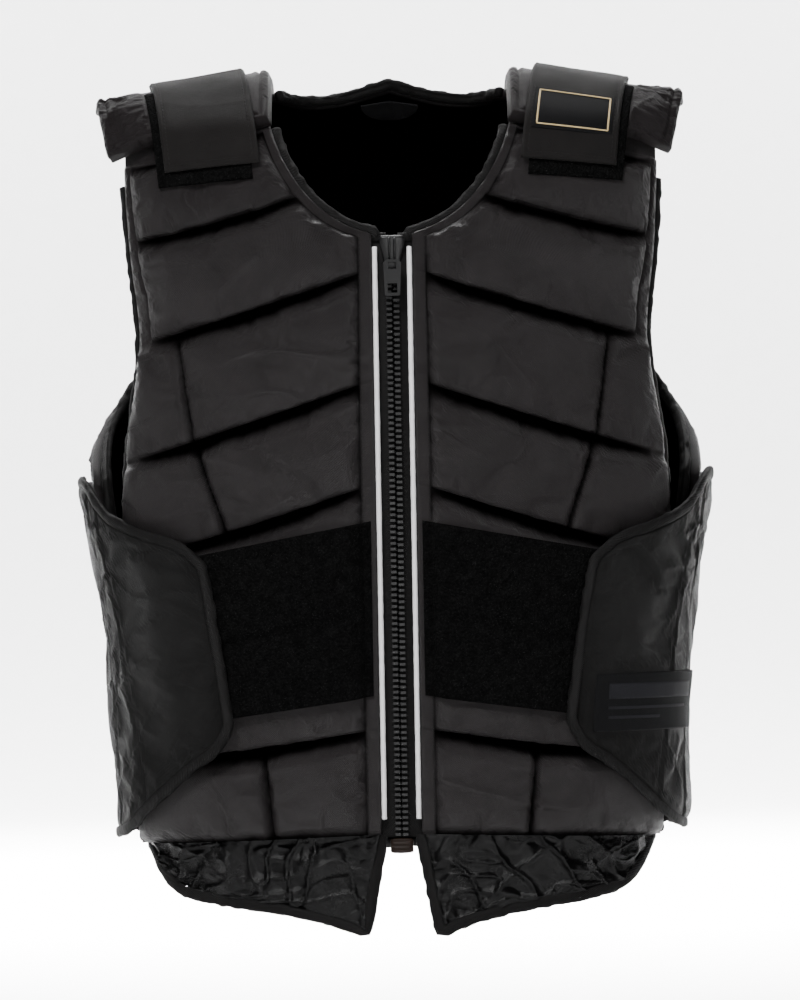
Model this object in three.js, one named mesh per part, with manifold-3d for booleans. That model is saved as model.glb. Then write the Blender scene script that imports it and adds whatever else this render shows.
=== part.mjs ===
import * as THREE from 'three';
import Module from 'manifold-3d';
import { mergeVertices } from 'three/addons/utils/BufferGeometryUtils.js';

// Padded riding vest in the form it has when worn. Millimetres, +Z up, the front faces -Y and
// +X is the wearer's left. z = 0 lies where the shoulders bear on the wearer.

// Trunk
const trunkLength = 485;
const chestHalfWidth = 207;
const frontDepth = 125;
const backDepth = 120;
const ringPower = 2.5;
const frontCrownPower = 2;
const backCrownPower = 3;
const crownDrop = 108;
const riseLength = 190;

// Shoulders and neck
const shoulderCentre = 137;
const shoulderSlopeAngle = THREE.MathUtils.degToRad(9.5);
const neckHalfWidth = 84;
const neckDepth = 112;
const tabAngle = 76;

// Padding
const padThickness = 20;
const seamThickness = 9;
const edgeThickness = 9;
const bandThickness = 11;
const layerGap = 0.8;
const tabGap = 1.3;
const flapGap = 1.3;
const labelGap = 1.8;
const edgeGap = 0.4;

// Edge binding
const bindingWidth = 6;
const bindingBulge = 0.8;

// Zip
const zipHalfWidth = 13.5;
const bandWidth = 7.5;
const zipTopLip = 1;
const zipFootLip = 2;
const tapeThickness = 1;
const tapeDepth = 6;
const pipingTopGap = 5;
const pipingFootGap = 8;
const teethFootGap = 2;
const sliderTopGap = 2.5;
const sliderFootGap = 1;
const toothWidth = 4;
const toothHeight = 3;
const chainGap = 0.3;
const pipingWidth = 3.4;
const sliderWidth = 17;
const sliderFootWidth = 11;
const sliderLength = 23;
const sliderThickness = 6;
const bailRadius = 3.5;
const bailEye = 1.7;
const bailWidth = 3;
const bailStand = 2.6;
const eyeAboveFoot = 5.5;
const sliderShoulder = 4;
const pullLength = 24;
const pullWidth = 11.7;
const pullFootWidth = 10;
const pullThickness = 1.6;
const pullWindowWidth = 5.4;
const pullWindowHeight = 4.6;
const pullHole = 6.2;
const boxWidth = 15;
const boxHeight = 10;
const boxThickness = 7;

// Straps, flaps and patches
const bridgeThickness = 10;
const bridgeNeckLip = 5;
const bridgeCrest = 8;
const bridgeBackAngle = 132;
const strapWidth = 62;
const strapThickness = 2.2;
const strapFootAngle = 31;
const strapEndAngle = 128;
const strapSlant = 13;
const strapInset = 8;
const loopThickness = 1.2;
const loopLip = 6;
const flapThickness = 3.5;
const flapBackAngle = 112;
const waistPatchStart = 17;
const waistPatchEnd = 150;
const patchThickness = 0.9;
const strapPatchLength = 52;
const strapPatchHeight = 29;
const strapPatchAngle = 16;
const patchGap = 0.3;
const skirtThickness = 1.5;
const hemLip = 0.5;
const labelHalfWidth = 22;
const labelHeight = 22;
const labelDrop = 8;

// Rings of the trunk. drop is a share of trunkLength below the shoulder seat, width of
// chestHalfWidth, front of frontDepth and back of backDepth.
const rings = [
  { drop: -0.10, width: 0.98, front: 0.84, back: 0.92 },
  { drop: 0.12, width: 0.98, front: 0.87, back: 0.95 },
  { drop: 0.30, width: 0.985, front: 0.96, back: 1.0 },
  { drop: 0.50, width: 1.0, front: 1.0, back: 0.98 },
  { drop: 0.61, width: 0.966, front: 1.0, back: 0.93 },
  { drop: 0.72, width: 0.935, front: 0.985, back: 0.89 },
  { drop: 0.83, width: 0.911, front: 0.96, back: 0.88 },
  { drop: 0.96, width: 0.899, front: 0.935, back: 0.91 },
  { drop: 1.15, width: 0.889, front: 0.92, back: 0.93 },
];

// Seams of a front panel from the shoulder tab down. inner and outer are drops at the centre
// edge and at the side edge as shares of trunkLength, side is the side edge as a share of
// chestHalfWidth, upright is where the upright seam crosses as a share of the panel's width.
// pad tells whether the row below is padded, split whether the upright seam parts it.
const frontSeams = [
  { rise: tabAngle, side: 0.872, upright: 0.72, pad: 0, split: 0, steps: [0, 0.5] },
  { inner: 0.012, outer: 0.072, side: 0.874, upright: 0.72, pad: 1, split: 0, steps: [0, 0.25, 0.75] },
  { inner: 0.106, outer: 0.174, side: 0.860, upright: 0.75, pad: 1, split: 0, steps: [0, 0.2, 0.42, 0.59, 0.8] },
  { inner: 0.211, outer: 0.312, side: 0.826, upright: 0.81, pad: 1, split: 1, steps: [0, 0.18, 0.5, 0.82] },
  { inner: 0.364, outer: 0.473, side: 0.889, upright: 0.66, pad: 1, split: 1, steps: [0, 0.18, 0.5, 0.82] },
  { inner: 0.506, outer: 0.617, side: 0.908, upright: 0.58, pad: 1, split: 0, steps: [0, 0.2, 0.8] },
  { inner: 0.684, outer: 0.760, side: 0.889, upright: 0.52, pad: 1, split: 0, steps: [0, 0.2, 0.8] },
  { inner: 0.842, outer: 0.885, side: 0.874, upright: 0.46, pad: 1, split: 1, steps: [0, 0.25, 0.75] },
  { inner: 0.985, outer: 0.997, side: 0.860, upright: 0.43, pad: 0, split: 0, steps: [0] },
];

// Seams of the back panel. centre and side are drops as shares of trunkLength, turn is the
// angle of the side edge from the back's centre line.
const backSeams = [
  { centre: 0.05, side: 0.072, turn: 57, pad: 1, steps: [0, 0.25, 0.75] },
  { centre: 0.190, side: 0.200, turn: 55, pad: 1, steps: [0, 0.25, 0.75] },
  { centre: 0.345, side: 0.350, turn: 55, pad: 1, steps: [0, 0.25, 0.5, 0.75] },
  { centre: 0.500, side: 0.515, turn: 96, pad: 1, steps: [0, 0.25, 0.75] },
  { centre: 0.665, side: 0.672, turn: 96, pad: 1, steps: [0, 0.25, 0.75] },
  { centre: 0.835, side: 0.832, turn: 96, pad: 1, steps: [0, 0.25, 0.75] },
  { centre: 1.010, side: 0.985, turn: 96, pad: 0, steps: [0] },
];

// Top edge of the back panel: rise over the shoulder in degrees at a share of chestHalfWidth.
const backTop = [
  { across: 0, rise: 60 },
  { across: 0.2, rise: 56 },
  { across: 0.34, rise: 62 },
  { across: 0.42, rise: tabAngle },
  { across: 1.0, rise: tabAngle },
];

// Columns of the back panel: inside spineAngle they stand at fixed angles, and outside it at
// shares of what is left to the side edge. seam marks the upright seams.
const spineAngle = 38;
const neckCornerShare = 0.58;
const backColumns = [
  { share: 0, seam: 0 },
  { share: 0.24, seam: 0 },
  { share: 0.47, seam: 1 },
  { share: neckCornerShare, seam: 0 },
  { share: 0.78, seam: 0 },
  { share: 1, seam: 0 },
  { share: 1.34, seam: 1 },
  { share: 1.5, seam: 0 },
  { share: 1.8, seam: 0 },
  { share: 2, seam: 1 },
];

// Free edges of the side flap at angles from the front centre. drop is a share of trunkLength.
const flapTop = [
  { turn: 37, drop: 0.621 },
  { turn: 41, drop: 0.597 },
  { turn: 49, drop: 0.580 },
  { turn: 60, drop: 0.556 },
  { turn: 73, drop: 0.510 },
  { turn: 90, drop: 0.512 },
  { turn: flapBackAngle, drop: 0.515 },
];
const flapFoot = [
  { turn: 34, drop: 0.832 },
  { turn: 36, drop: 0.855 },
  { turn: 42, drop: 0.882 },
  { turn: 52, drop: 0.925 },
  { turn: 63, drop: 0.962 },
  { turn: 78, drop: 0.976 },
  { turn: flapBackAngle, drop: 0.976 },
];

// Free edge of the hem skirt. across is a share of chestHalfWidth, drop of trunkLength.
const skirtFoot = [
  { across: 0.126, drop: 1.112 },
  { across: 0.20, drop: 1.099 },
  { across: 0.38, drop: 1.081 },
  { across: 0.63, drop: 1.062 },
  { across: 0.745, drop: 1.047 },
  { across: 0.800, drop: 1.024 },
];

const lerp = THREE.MathUtils.lerp;
const toRadians = THREE.MathUtils.degToRad;
const toDegrees = THREE.MathUtils.radToDeg;

// Reads a column of a table at a place of its key column, on a smooth curve through the rows.
function read(table, key, at, column) {
  const last = table.length - 1;
  let i = 0;
  while (i < last - 1 && at > table[i + 1][key]) i += 1;
  const slope = (a, b) => (table[b][column] - table[a][column]) / (table[b][key] - table[a][key]);
  const span = table[i + 1][key] - table[i][key];
  const share = THREE.MathUtils.clamp((at - table[i][key]) / span, 0, 1);
  const here = slope(i, i + 1);
  const before = i > 0 ? (slope(i - 1, i) + here) / 2 : here;
  const after = i < last - 1 ? (slope(i + 1, i + 2) + here) / 2 : here;
  const square = share * share;
  const cube = square * share;
  return (2 * cube - 3 * square + 1) * table[i][column]
    + (cube - 2 * square + share) * span * before
    + (3 * square - 2 * cube) * table[i + 1][column]
    + (cube - square) * span * after;
}

// Sine and cosine on a superellipse, a rounded square that a power of 2 makes a circle.
function squircle(angle, power) {
  const sine = Math.sin(angle);
  const cosine = Math.cos(angle);
  const size = (Math.abs(sine) ** power + Math.abs(cosine) ** power) ** (1 / power);
  return { sine: sine / size, cosine: cosine / size };
}

const crownHeight = -crownDrop;

function halfWidthAt(z) {
  return chestHalfWidth * read(rings, 'drop', -Math.min(z, crownHeight) / trunkLength, 'width');
}

function depthAt(z, isBack) {
  const share = read(rings, 'drop', -z / trunkLength, isBack ? 'back' : 'front');
  return share * (isBack ? backDepth : frontDepth);
}

function ridgeAt(x) {
  return padThickness + Math.tan(shoulderSlopeAngle) * (shoulderCentre - Math.abs(x));
}

// Point of the pads' outer face. turn is the angle round the body in radians from the front
// centre. level is the height against the crown's foot: below 0 in millimetres down the
// trunk, above 0 along the arc over the shoulder, with the ridge at riseLength.
function skin(turn, level) {
  const rise = Math.max(level, 0) / riseLength * Math.PI / 2;
  const overRidge = rise > Math.PI / 2;
  const isBack = overRidge !== Math.cos(turn) < 0;
  const crown = squircle(overRidge ? Math.PI - rise : rise, isBack ? backCrownPower : frontCrownPower);
  const trunkHeight = crownHeight + Math.min(level, 0);
  const ring = squircle(turn, ringPower);
  const x = halfWidthAt(trunkHeight) * ring.sine;
  const z = level > 0 ? lerp(crownHeight, ridgeAt(x), crown.sine) : trunkHeight;
  const depth = depthAt(z, isBack) * Math.abs(ring.cosine) * (level > 0 ? crown.cosine : 1);
  return new THREE.Vector3(x, isBack ? depth : -depth, z);
}

// Outward normal of that face.
function skinNormal(turn, level) {
  const step = 0.004;
  const round = skin(turn + step, level).sub(skin(turn - step, level));
  const upward = skin(turn, level + 0.5).sub(skin(turn, level - 0.5));
  const normal = round.cross(upward).normalize();
  const point = skin(turn, level);
  const centre = new THREE.Vector3(0, 0, Math.min(point.z, crownHeight));
  return normal.dot(point.sub(centre)) < 0 ? normal.negate() : normal;
}

// Turn and level of the front face's point that stands at x and z in the front view.
function frontPlace(x, z) {
  const share = x / halfWidthAt(z);
  const turn = Math.atan2(share, (1 - Math.abs(share) ** ringPower) ** (1 / ringPower));
  if (z <= crownHeight) return { turn, level: z - crownHeight };
  const climb = (z - crownHeight) / (ridgeAt(x) - crownHeight);
  const rise = Math.atan2(climb, (1 - climb ** frontCrownPower) ** (1 / frontCrownPower));
  return { turn, level: rise / (Math.PI / 2) * riseLength };
}

// Place on the arc over the shoulder at x in the front view and rise in degrees.
function shoulderPlace(x, rise) {
  return { turn: frontPlace(x, crownHeight).turn, level: rise / 90 * riseLength };
}

function lifted(place, lift) {
  return skin(place.turn, place.level).addScaledVector(skinNormal(place.turn, place.level), lift);
}

function signedVolume(points, faces) {
  let sum = 0;
  for (const [a, b, c] of faces) sum += points[a].dot(points[b].clone().cross(points[c]));
  return sum / 6;
}

function solidFrom(points, faces) {
  const outward = signedVolume(points, faces) > 0 ? faces : faces.map(([a, b, c]) => [a, c, b]);
  const geometry = new THREE.BufferGeometry();
  geometry.setAttribute('position', new THREE.Float32BufferAttribute(points.flatMap((p) => p.toArray()), 3));
  geometry.setIndex(outward.flat());
  geometry.computeVertexNormals();
  return geometry;
}

// Closed sheet over a grid of places, with an outer and an inner lift for each of them.
function sheet(grid) {
  const rows = grid.length;
  const columns = grid[0].length;
  const points = [];
  for (const side of ['outer', 'inner']) {
    for (const row of grid) {
      for (const cell of row) points.push(lifted(cell, cell[side]));
    }
  }
  const index = (side, i, j) => (side * rows + i) * columns + j;
  const faces = [];
  const quad = (a, b, c, d) => faces.push([a, b, c], [a, c, d]);
  for (let i = 0; i < rows - 1; i += 1) {
    for (let j = 0; j < columns - 1; j += 1) {
      quad(index(0, i, j), index(0, i + 1, j), index(0, i + 1, j + 1), index(0, i, j + 1));
      quad(index(1, i, j), index(1, i, j + 1), index(1, i + 1, j + 1), index(1, i + 1, j));
    }
    quad(index(0, i, 0), index(1, i, 0), index(1, i + 1, 0), index(0, i + 1, 0));
    quad(index(0, i + 1, columns - 1), index(1, i + 1, columns - 1), index(1, i, columns - 1), index(0, i, columns - 1));
  }
  for (let j = 0; j < columns - 1; j += 1) {
    quad(index(0, 0, j), index(0, 0, j + 1), index(1, 0, j + 1), index(1, 0, j));
    quad(index(0, rows - 1, j), index(1, rows - 1, j), index(1, rows - 1, j + 1), index(0, rows - 1, j + 1));
  }
  return solidFrom(points, faces);
}

// Bar along a row of places. section is a convex outline of [aside, lift] pairs, where aside
// is measured square to the row on the skin, to the right hand of its direction.
function bar(places, section) {
  const line = places.map((place) => lifted(place, 0));
  const frames = places.map((place, i) => {
    const normal = skinNormal(place.turn, place.level);
    const before = line[i].clone().sub(line[Math.max(i - 1, 0)]).normalize();
    const after = line[Math.min(i + 1, line.length - 1)].clone().sub(line[i]).normalize();
    const along = before.clone().add(after).normalize();
    const aside = along.clone().cross(normal).normalize();
    const bend = Math.max(along.dot(i > 0 ? before : after), 0.6);
    return { origin: line[i], aside: aside.divideScalar(bend), normal, lift: place.lift ?? 0 };
  });
  const sides = section.length;
  const points = [];
  for (const frame of frames) {
    for (const [aside, lift] of section) {
      const height = lift + frame.lift;
      points.push(frame.origin.clone().addScaledVector(frame.aside, aside).addScaledVector(frame.normal, height));
    }
  }
  const faces = [];
  for (let i = 0; i < frames.length - 1; i += 1) {
    for (let k = 0; k < sides; k += 1) {
      const a = i * sides + k;
      const b = i * sides + (k + 1) % sides;
      faces.push([a, b, b + sides], [a, b + sides, a + sides]);
    }
  }
  const end = (frames.length - 1) * sides;
  for (let k = 1; k < sides - 1; k += 1) {
    faces.push([0, k + 1, k], [end, end + k, end + k + 1]);
  }
  return solidFrom(points, faces);
}

function mirrored(geometry) {
  const copy = geometry.clone();
  const position = copy.getAttribute('position');
  for (let i = 0; i < position.count; i += 1) position.setX(i, -position.getX(i));
  const index = copy.getIndex().array;
  for (let i = 0; i < index.length; i += 3) [index[i + 1], index[i + 2]] = [index[i + 2], index[i + 1]];
  copy.computeVertexNormals();
  return copy;
}

// Materials
const material = (color, roughness) => new THREE.MeshStandardMaterial({ color, roughness, metalness: 0 });
const padCloth = () => material(0x2b2929, 0.55);
const bindingCloth = () => material(0x222021, 0.6);
const strapCloth = () => material(0x2a2827, 0.7);
const loopCloth = () => material(0x0b0b0b, 0.95);
const flapCloth = () => material(0x282a29, 0.5);
const skirtCloth = () => material(0x262527, 0.35);
const reflective = () => material(0xe6e4e6, 0.4);
const zipPlastic = () => material(0x151516, 0.45);
const retainerPlastic = () => material(0x2a1c12, 0.5);
const labelCloth = () => material(0x1b1b1e, 0.7);

const vest = new THREE.Group();

function add(name, geometry, finish) {
  const mesh = new THREE.Mesh(geometry, finish);
  mesh.name = name;
  vest.add(mesh);
  return mesh;
}

// The model's own left side is +X, and the right side is its mirror image.
function addPair(name, geometry, finish) {
  add(`${name}_left`, geometry, finish());
  add(`${name}_right`, mirrored(geometry), finish());
}

const fullLift = 0;
const innerLift = -padThickness;
const seamLift = seamThickness - padThickness;
const edgeLift = edgeThickness - padThickness;
const bandLift = bandThickness - padThickness;
const centreEdge = zipHalfWidth;
const neckTop = ridgeAt(neckHalfWidth);

// Centre edge of a front panel at a height: the round neck, then the straight zip edge.
function centreEdgeAt(z) {
  const climb = (neckTop - z) / neckDepth;
  const neck = climb < 1 ? neckHalfWidth * Math.sqrt(1 - Math.max(climb, 0) ** 2) : 0;
  return Math.max(neck, centreEdge);
}

// Rows of a panel from its table of seams: each with the seam above it and a share downward.
function rowsOf(seams) {
  return seams.flatMap((seam, i) => seam.steps.map((share) => ({ seam, next: seams[i + 1] ?? seam, share, at: i + share })));
}

// Thickness of a pad at shares of its row and of its column.
function puff(downShare, acrossShare) {
  const rim = (share) => Math.min(Math.min(share, 1 - share) / 0.22, 1);
  return Math.sin(Math.min(rim(downShare), rim(acrossShare)) * Math.PI / 2);
}

const stripSeamShare = 0.93;

function frontPanelColumns(row) {
  const upright = lerp(row.seam.upright, row.next.upright, row.share);
  return [
    { share: 0, part: 'edge' },
    { share: 0.055, part: 'band' },
    { share: lerp(0.055, upright, 0.2), part: 'pad' },
    { share: lerp(0.055, upright, 0.8), part: 'pad' },
    { share: upright, part: 'seam' },
    { share: lerp(upright, stripSeamShare, 0.3), part: 'pad' },
    { share: lerp(upright, stripSeamShare, 0.75), part: 'pad' },
    { share: stripSeamShare, part: 'strip' },
    { share: 1, part: 'edge' },
  ];
}

function seamHeight(seam, edge, x) {
  if (seam.rise) return lerp(crownHeight, ridgeAt(x), Math.sin(toRadians(seam.rise)));
  return -trunkLength * seam[edge];
}

function frontPanelPoint(row, share) {
  const seams = frontSeams.map((seam, i) => ({ at: i, side: seam.side }));
  const side = chestHalfWidth * read(seams, 'at', row.at, 'side');
  const height = (edge, x) => lerp(seamHeight(row.seam, edge, x), seamHeight(row.next, edge, x), row.share);
  const inner = height('inner', neckHalfWidth);
  const outer = height('outer', side);
  return { x: lerp(centreEdgeAt(inner), side, share), z: lerp(inner, outer, share) };
}

function frontPanelLift(row, column) {
  if (column.part === 'edge' || !row.seam.pad) return edgeLift;
  if (column.part === 'band') return row.at > 1 ? bandLift : edgeLift;
  const uprightSeam = column.part === 'seam' && row.seam.split;
  const acrossShare = uprightSeam || column.part === 'strip' ? 0 : 0.5;
  return lerp(seamLift, fullLift, puff(row.share, acrossShare));
}

function frontPanel() {
  return sheet(rowsOf(frontSeams).map((row) => frontPanelColumns(row).map((column) => {
    const { x, z } = frontPanelPoint(row, column.share);
    return { ...frontPlace(x, z), outer: frontPanelLift(row, column), inner: innerLift };
  })));
}

function backPanelPlace(row, column, side) {
  const turns = backSeams.map((seam, i) => ({ at: i, turn: seam.turn }));
  const edgeTurn = row.at < 0 ? backSeams[0].turn : read(turns, 'at', row.at, 'turn');
  const turn = column.share < 1 ? spineAngle * column.share : lerp(spineAngle, edgeTurn, column.share - 1);
  const across = squircle(toRadians(turn), ringPower).sine;
  const drop = (seam) => lerp(seam.centre, seam.side, column.share / 2) * trunkLength;
  const level = (seam) => backLevel(turn, -drop(seam));
  const top = read(backTop, 'across', across, 'rise') / 90 * riseLength;
  const from = row.at < 0 ? top : level(row.seam);
  return { turn: Math.PI - side * toRadians(turn), level: lerp(from, level(row.next), row.share) };
}

function backLevel(turn, z) {
  if (z <= crownHeight) return z - crownHeight;
  const x = halfWidthAt(z) * squircle(toRadians(turn), ringPower).sine;
  const climb = (z - crownHeight) / (ridgeAt(x) - crownHeight);
  const rise = Math.atan2(climb, (1 - climb ** backCrownPower) ** (1 / backCrownPower));
  return rise / (Math.PI / 2) * riseLength;
}

function backPanelRows() {
  const top = [0, 0.35, 0.7].map((share) => ({ seam: { pad: 0 }, next: backSeams[0], share, at: share - 1 }));
  return [...top, ...rowsOf(backSeams)];
}

function backPanelLift(row, column) {
  if (column.share === 2 || row.at < 0 || row.seam === row.next) return edgeLift;
  return lerp(seamLift, fullLift, puff(row.share, column.seam && row.at >= 1 ? 0 : 0.5));
}

function backPanel() {
  const halves = [
    ...backColumns.slice(1).reverse().map((column) => ({ column, side: -1 })),
    ...backColumns.map((column) => ({ column, side: 1 })),
  ];
  return sheet(backPanelRows().map((row) => halves.map(({ column, side }) => (
    { ...backPanelPlace(row, column, side), outer: backPanelLift(row, column), inner: innerLift }))));
}

// Shoulder bridge from its front edge over the ridge to the back.
const bridgeFront = [
  { share: 0, drop: 0.012 },
  { share: 0.75, drop: 0.039 },
  { share: 1, drop: 0.062 },
];
const bridgeInner = neckHalfWidth - bridgeNeckLip;
const bridgeOuter = chestHalfWidth * frontSeams[1].side + bindingWidth;
const bridgeInnerLift = edgeLift + tabGap;
const bridgeOuterLift = bridgeInnerLift + bridgeThickness;

function bridge() {
  const grid = [];
  const steps = 10;
  for (let i = 0; i <= steps; i += 1) {
    const row = [];
    for (const share of [0, 0.12, 0.37, 0.63, 0.88, 1]) {
      const crest = Math.sin(i / steps * Math.PI) * bridgeCrest * share;
      const x = lerp(bridgeInner, bridgeOuter, share) + crest;
      const front = frontPlace(x, -trunkLength * read(bridgeFront, 'share', share, 'drop')).level;
      const level = lerp(front, bridgeBackAngle / 90 * riseLength, i / steps);
      const edge = share === 0 || share === 1 || i === 0 || i === steps;
      const place = { turn: frontPlace(x, crownHeight).turn, level };
      row.push({ ...place, outer: bridgeOuterLift - (edge ? bridgeThickness / 4 : 0), inner: bridgeInnerLift });
    }
    grid.push(row);
  }
  return sheet(grid);
}

// Strap that folds over the ridge, and the loop patch that its front end is pressed on.
const loopLift = bridgeOuterLift + layerGap;
const strapLift = loopLift + loopThickness + layerGap;

function strapMiddle(rise) {
  return shoulderCentre - strapInset - strapSlant * Math.max(1 - rise / 90, 0) / (1 - strapFootAngle / 90);
}

function strapGrid(fromRise, toRise, fromAside, toAside, inner, thickness, steps) {
  const grid = [];
  for (let i = 0; i <= steps; i += 1) {
    const rise = lerp(fromRise, toRise, i / steps);
    grid.push([0, 0.5, 1].map((share) => {
      const x = strapMiddle(rise) + lerp(fromAside, toAside, share);
      return { ...shoulderPlace(x, rise), outer: inner + thickness, inner };
    }));
  }
  return grid;
}

function strap() {
  return sheet(strapGrid(strapFootAngle, strapEndAngle, -strapWidth / 2, strapWidth / 2, strapLift, strapThickness, 12));
}

function strapLoop() {
  const aside = strapWidth / 2;
  const footRise = strapFootAngle - toDegrees(loopLip / riseLength) * 1.5;
  return sheet(strapGrid(footRise, tabAngle, -aside + loopLip, aside + loopLip, loopLift, loopThickness, 7));
}

function strapPatch() {
  const rises = strapPatchHeight / riseLength * 90;
  const from = strapFootAngle + strapPatchAngle;
  const half = strapPatchLength / 2;
  const lift = strapLift + strapThickness + patchGap;
  return sheet(strapGrid(from, from + rises, -half, half, lift, patchThickness, 3));
}

// Side flap, sewn to the back panel and closed over the front panel's loop patch.
const flapFrontLift = layerGap + loopThickness + flapGap;
const flapBackLift = layerGap;

function flapPlace(across, down) {
  const topTurn = lerp(flapTop[0].turn, flapBackAngle, across);
  const footTurn = lerp(flapFoot[0].turn, flapBackAngle, across);
  const top = read(flapTop, 'turn', topTurn, 'drop');
  const foot = read(flapFoot, 'turn', footTurn, 'drop');
  const drop = trunkLength * lerp(top, foot, down);
  return { turn: toRadians(lerp(topTurn, footTurn, down)), level: -drop - crownHeight };
}

function flapLift(across) {
  return lerp(flapFrontLift, flapBackLift, Math.min(across * 1.3, 1));
}

const flapAcross = [0, 0.05, 0.15, 0.28, 0.42, 0.55, 0.7, 0.85, 1];
const flapDown = [0, 0.12, 0.3, 0.5, 0.7, 0.88, 1];

function flap() {
  return sheet(flapDown.map((down) => flapAcross.map((across) => {
    const inner = flapLift(across);
    return { ...flapPlace(across, down), outer: inner + flapThickness, inner };
  })));
}

function flapEdge() {
  const top = flapAcross.slice(1).reverse().map((across) => ({ ...flapPlace(across, 0), lift: flapLift(across) }));
  const front = flapDown.map((down) => ({ ...flapPlace(0, down), lift: flapLift(0) }));
  const foot = flapAcross.slice(1).map((across) => ({ ...flapPlace(across, 1), lift: flapLift(across) }));
  return [...top, ...front, ...foot];
}

function flapPatch() {
  const inner = flapFrontLift + flapThickness + patchGap;
  const grid = [0.771, 0.81, 0.85].map((drop) => [38, 44, 50, 57, 64, 72].map((turn) => (
    { turn: toRadians(turn), level: -drop * trunkLength - crownHeight, outer: inner + patchThickness, inner })));
  return sheet(grid);
}

// Loop patch on the waist, from the centre band to under the flap.
function waistPatch() {
  const rows = [0, 0.33, 0.66, 1];
  const columns = [0, 0.2, 0.4, 0.6, 0.8, 1];
  return sheet(rows.map((down) => columns.map((across) => {
    const x = lerp(waistPatchStart, waistPatchEnd, across);
    const top = -trunkLength * lerp(0.562, 0.612, across);
    const foot = -trunkLength * lerp(0.798, 0.836, across);
    return { ...frontPlace(x, lerp(top, foot, down)), outer: layerGap + loopThickness, inner: layerGap };
  })));
}

// Thin skirt that hangs from the foot of a front panel.
const skirtLift = innerLift + edgeThickness / 2;
const skirtTopGap = 0.6;

function skirtPlace(across, down) {
  const footAcross = lerp(skirtFoot[0].across, skirtFoot.at(-1).across, across);
  const foot = -trunkLength * read(skirtFoot, 'across', footAcross, 'drop');
  const topX = lerp(centreEdge + 1, chestHalfWidth * frontSeams.at(-1).side - 1, across);
  const topRow = frontPanelPoint(rowsOf(frontSeams).at(-1), across);
  const x = lerp(topX, chestHalfWidth * footAcross, down);
  return frontPlace(x, lerp(topRow.z - skirtTopGap, foot, down));
}

const skirtAcross = [0, 0.12, 0.3, 0.5, 0.7, 0.85, 0.95, 1];
const skirtDown = [0, 0.35, 0.7, 1];

function skirt() {
  return sheet(skirtDown.map((down) => skirtAcross.map((across) => (
    { ...skirtPlace(across, down), outer: skirtLift + skirtThickness, inner: skirtLift }))));
}

function skirtEdge() {
  const inner = skirtDown.slice(1, -1).map((down) => skirtPlace(0, down));
  const foot = skirtAcross.map((across) => skirtPlace(across, 1));
  const outer = skirtDown.slice(1, -1).reverse().map((down) => skirtPlace(1, down));
  return [...inner, ...foot, ...outer];
}

// Folded tape round an edge that is thick millimetres through and starts at lift inner.
function bindingSection(inner, thick, width, side) {
  const outline = [
    [edgeGap, inner],
    [edgeGap, inner + thick],
    [width * 0.45, inner + thick + bindingBulge],
    [width + edgeGap, inner + thick * 0.75],
    [width + edgeGap, inner + thick * 0.25],
    [width * 0.45, inner - bindingBulge],
  ];
  return outline.map(([aside, lift]) => [aside * side, lift]);
}

function panelEdge(side, fromRow, toRow) {
  return rowsOf(frontSeams).filter((row) => row.at >= fromRow && row.at <= toRow).map((row) => {
    const { x, z } = frontPanelPoint(row, side);
    return frontPlace(x, z);
  });
}

function neckBinding() {
  const round = panelEdge(0, 1, 2.59);
  const foot = round.at(-1);
  const toZip = { turn: frontPlace(centreEdge * 0.3, crownHeight).turn, level: foot.level };
  return bar([...round, toZip], bindingSection(innerLift, edgeThickness, bindingWidth, 1));
}

function armholeBinding() {
  return bar(panelEdge(1, 1.25, 8), bindingSection(innerLift, edgeThickness, bindingWidth, -1));
}

function backEdge(side, rows) {
  return rows.map((row) => backPanelPlace(row, backColumns.at(-1), side));
}

function backArmholeBinding() {
  const rows = rowsOf(backSeams);
  return bar(backEdge(1, rows.slice(1)), bindingSection(innerLift, edgeThickness, bindingWidth, 1));
}

function backNeckBinding() {
  const row = backPanelRows()[0];
  const round = backColumns.filter((column) => column.share <= neckCornerShare);
  const left = round.map((column) => backPanelPlace(row, column, 1)).reverse();
  const right = round.slice(1).map((column) => backPanelPlace(row, column, -1));
  return bar([...left, ...right], bindingSection(innerLift, edgeThickness, bindingWidth, -1));
}

function backHemBinding() {
  const row = backPanelRows().at(-1);
  const left = backColumns.map((column) => backPanelPlace(row, column, 1)).reverse();
  const right = backColumns.slice(1).map((column) => backPanelPlace(row, column, -1));
  return bar([...left, ...right], bindingSection(innerLift, edgeThickness, bindingWidth, 1));
}

function flapBinding() {
  return bar(flapEdge(), bindingSection(0, flapThickness, bindingWidth, 1));
}

function skirtBinding() {
  return bar(skirtEdge(), bindingSection(skirtLift - hemLip, skirtThickness + 2 * hemLip, bindingWidth, 1));
}

// Zip: two tapes, two columns of teeth, the piping beside them and the box at the foot.
function zipLine(x, top, foot, steps) {
  return Array.from({ length: steps + 1 }, (_, i) => frontPlace(x, lerp(top, foot, i / steps)));
}

const zipTop = neckTop - neckDepth + zipTopLip;
const zipFoot = -trunkLength * frontSeams.at(-1).inner - zipFootLip;
const tapeLift = innerLift + tapeDepth;
const toothLift = tapeLift + tapeThickness + edgeGap;
const toothTop = zipTop - sliderTopGap - sliderLength - sliderFootGap;

function flatSection(from, to, inner, outer) {
  return [[from, inner], [from, outer], [to, outer], [to, inner]];
}

function zipTape() {
  const half = (centreEdge - edgeGap - chainGap) / 2;
  return bar(zipLine(chainGap + half, zipTop, zipFoot, 12), flatSection(-half, half, tapeLift, tapeLift + tapeThickness));
}

function zipTeeth() {
  const half = toothWidth / 2;
  return bar(zipLine(chainGap + half, toothTop, zipFoot + teethFootGap, 12), flatSection(-half, half, toothLift, toothLift + toothHeight));
}

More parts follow.
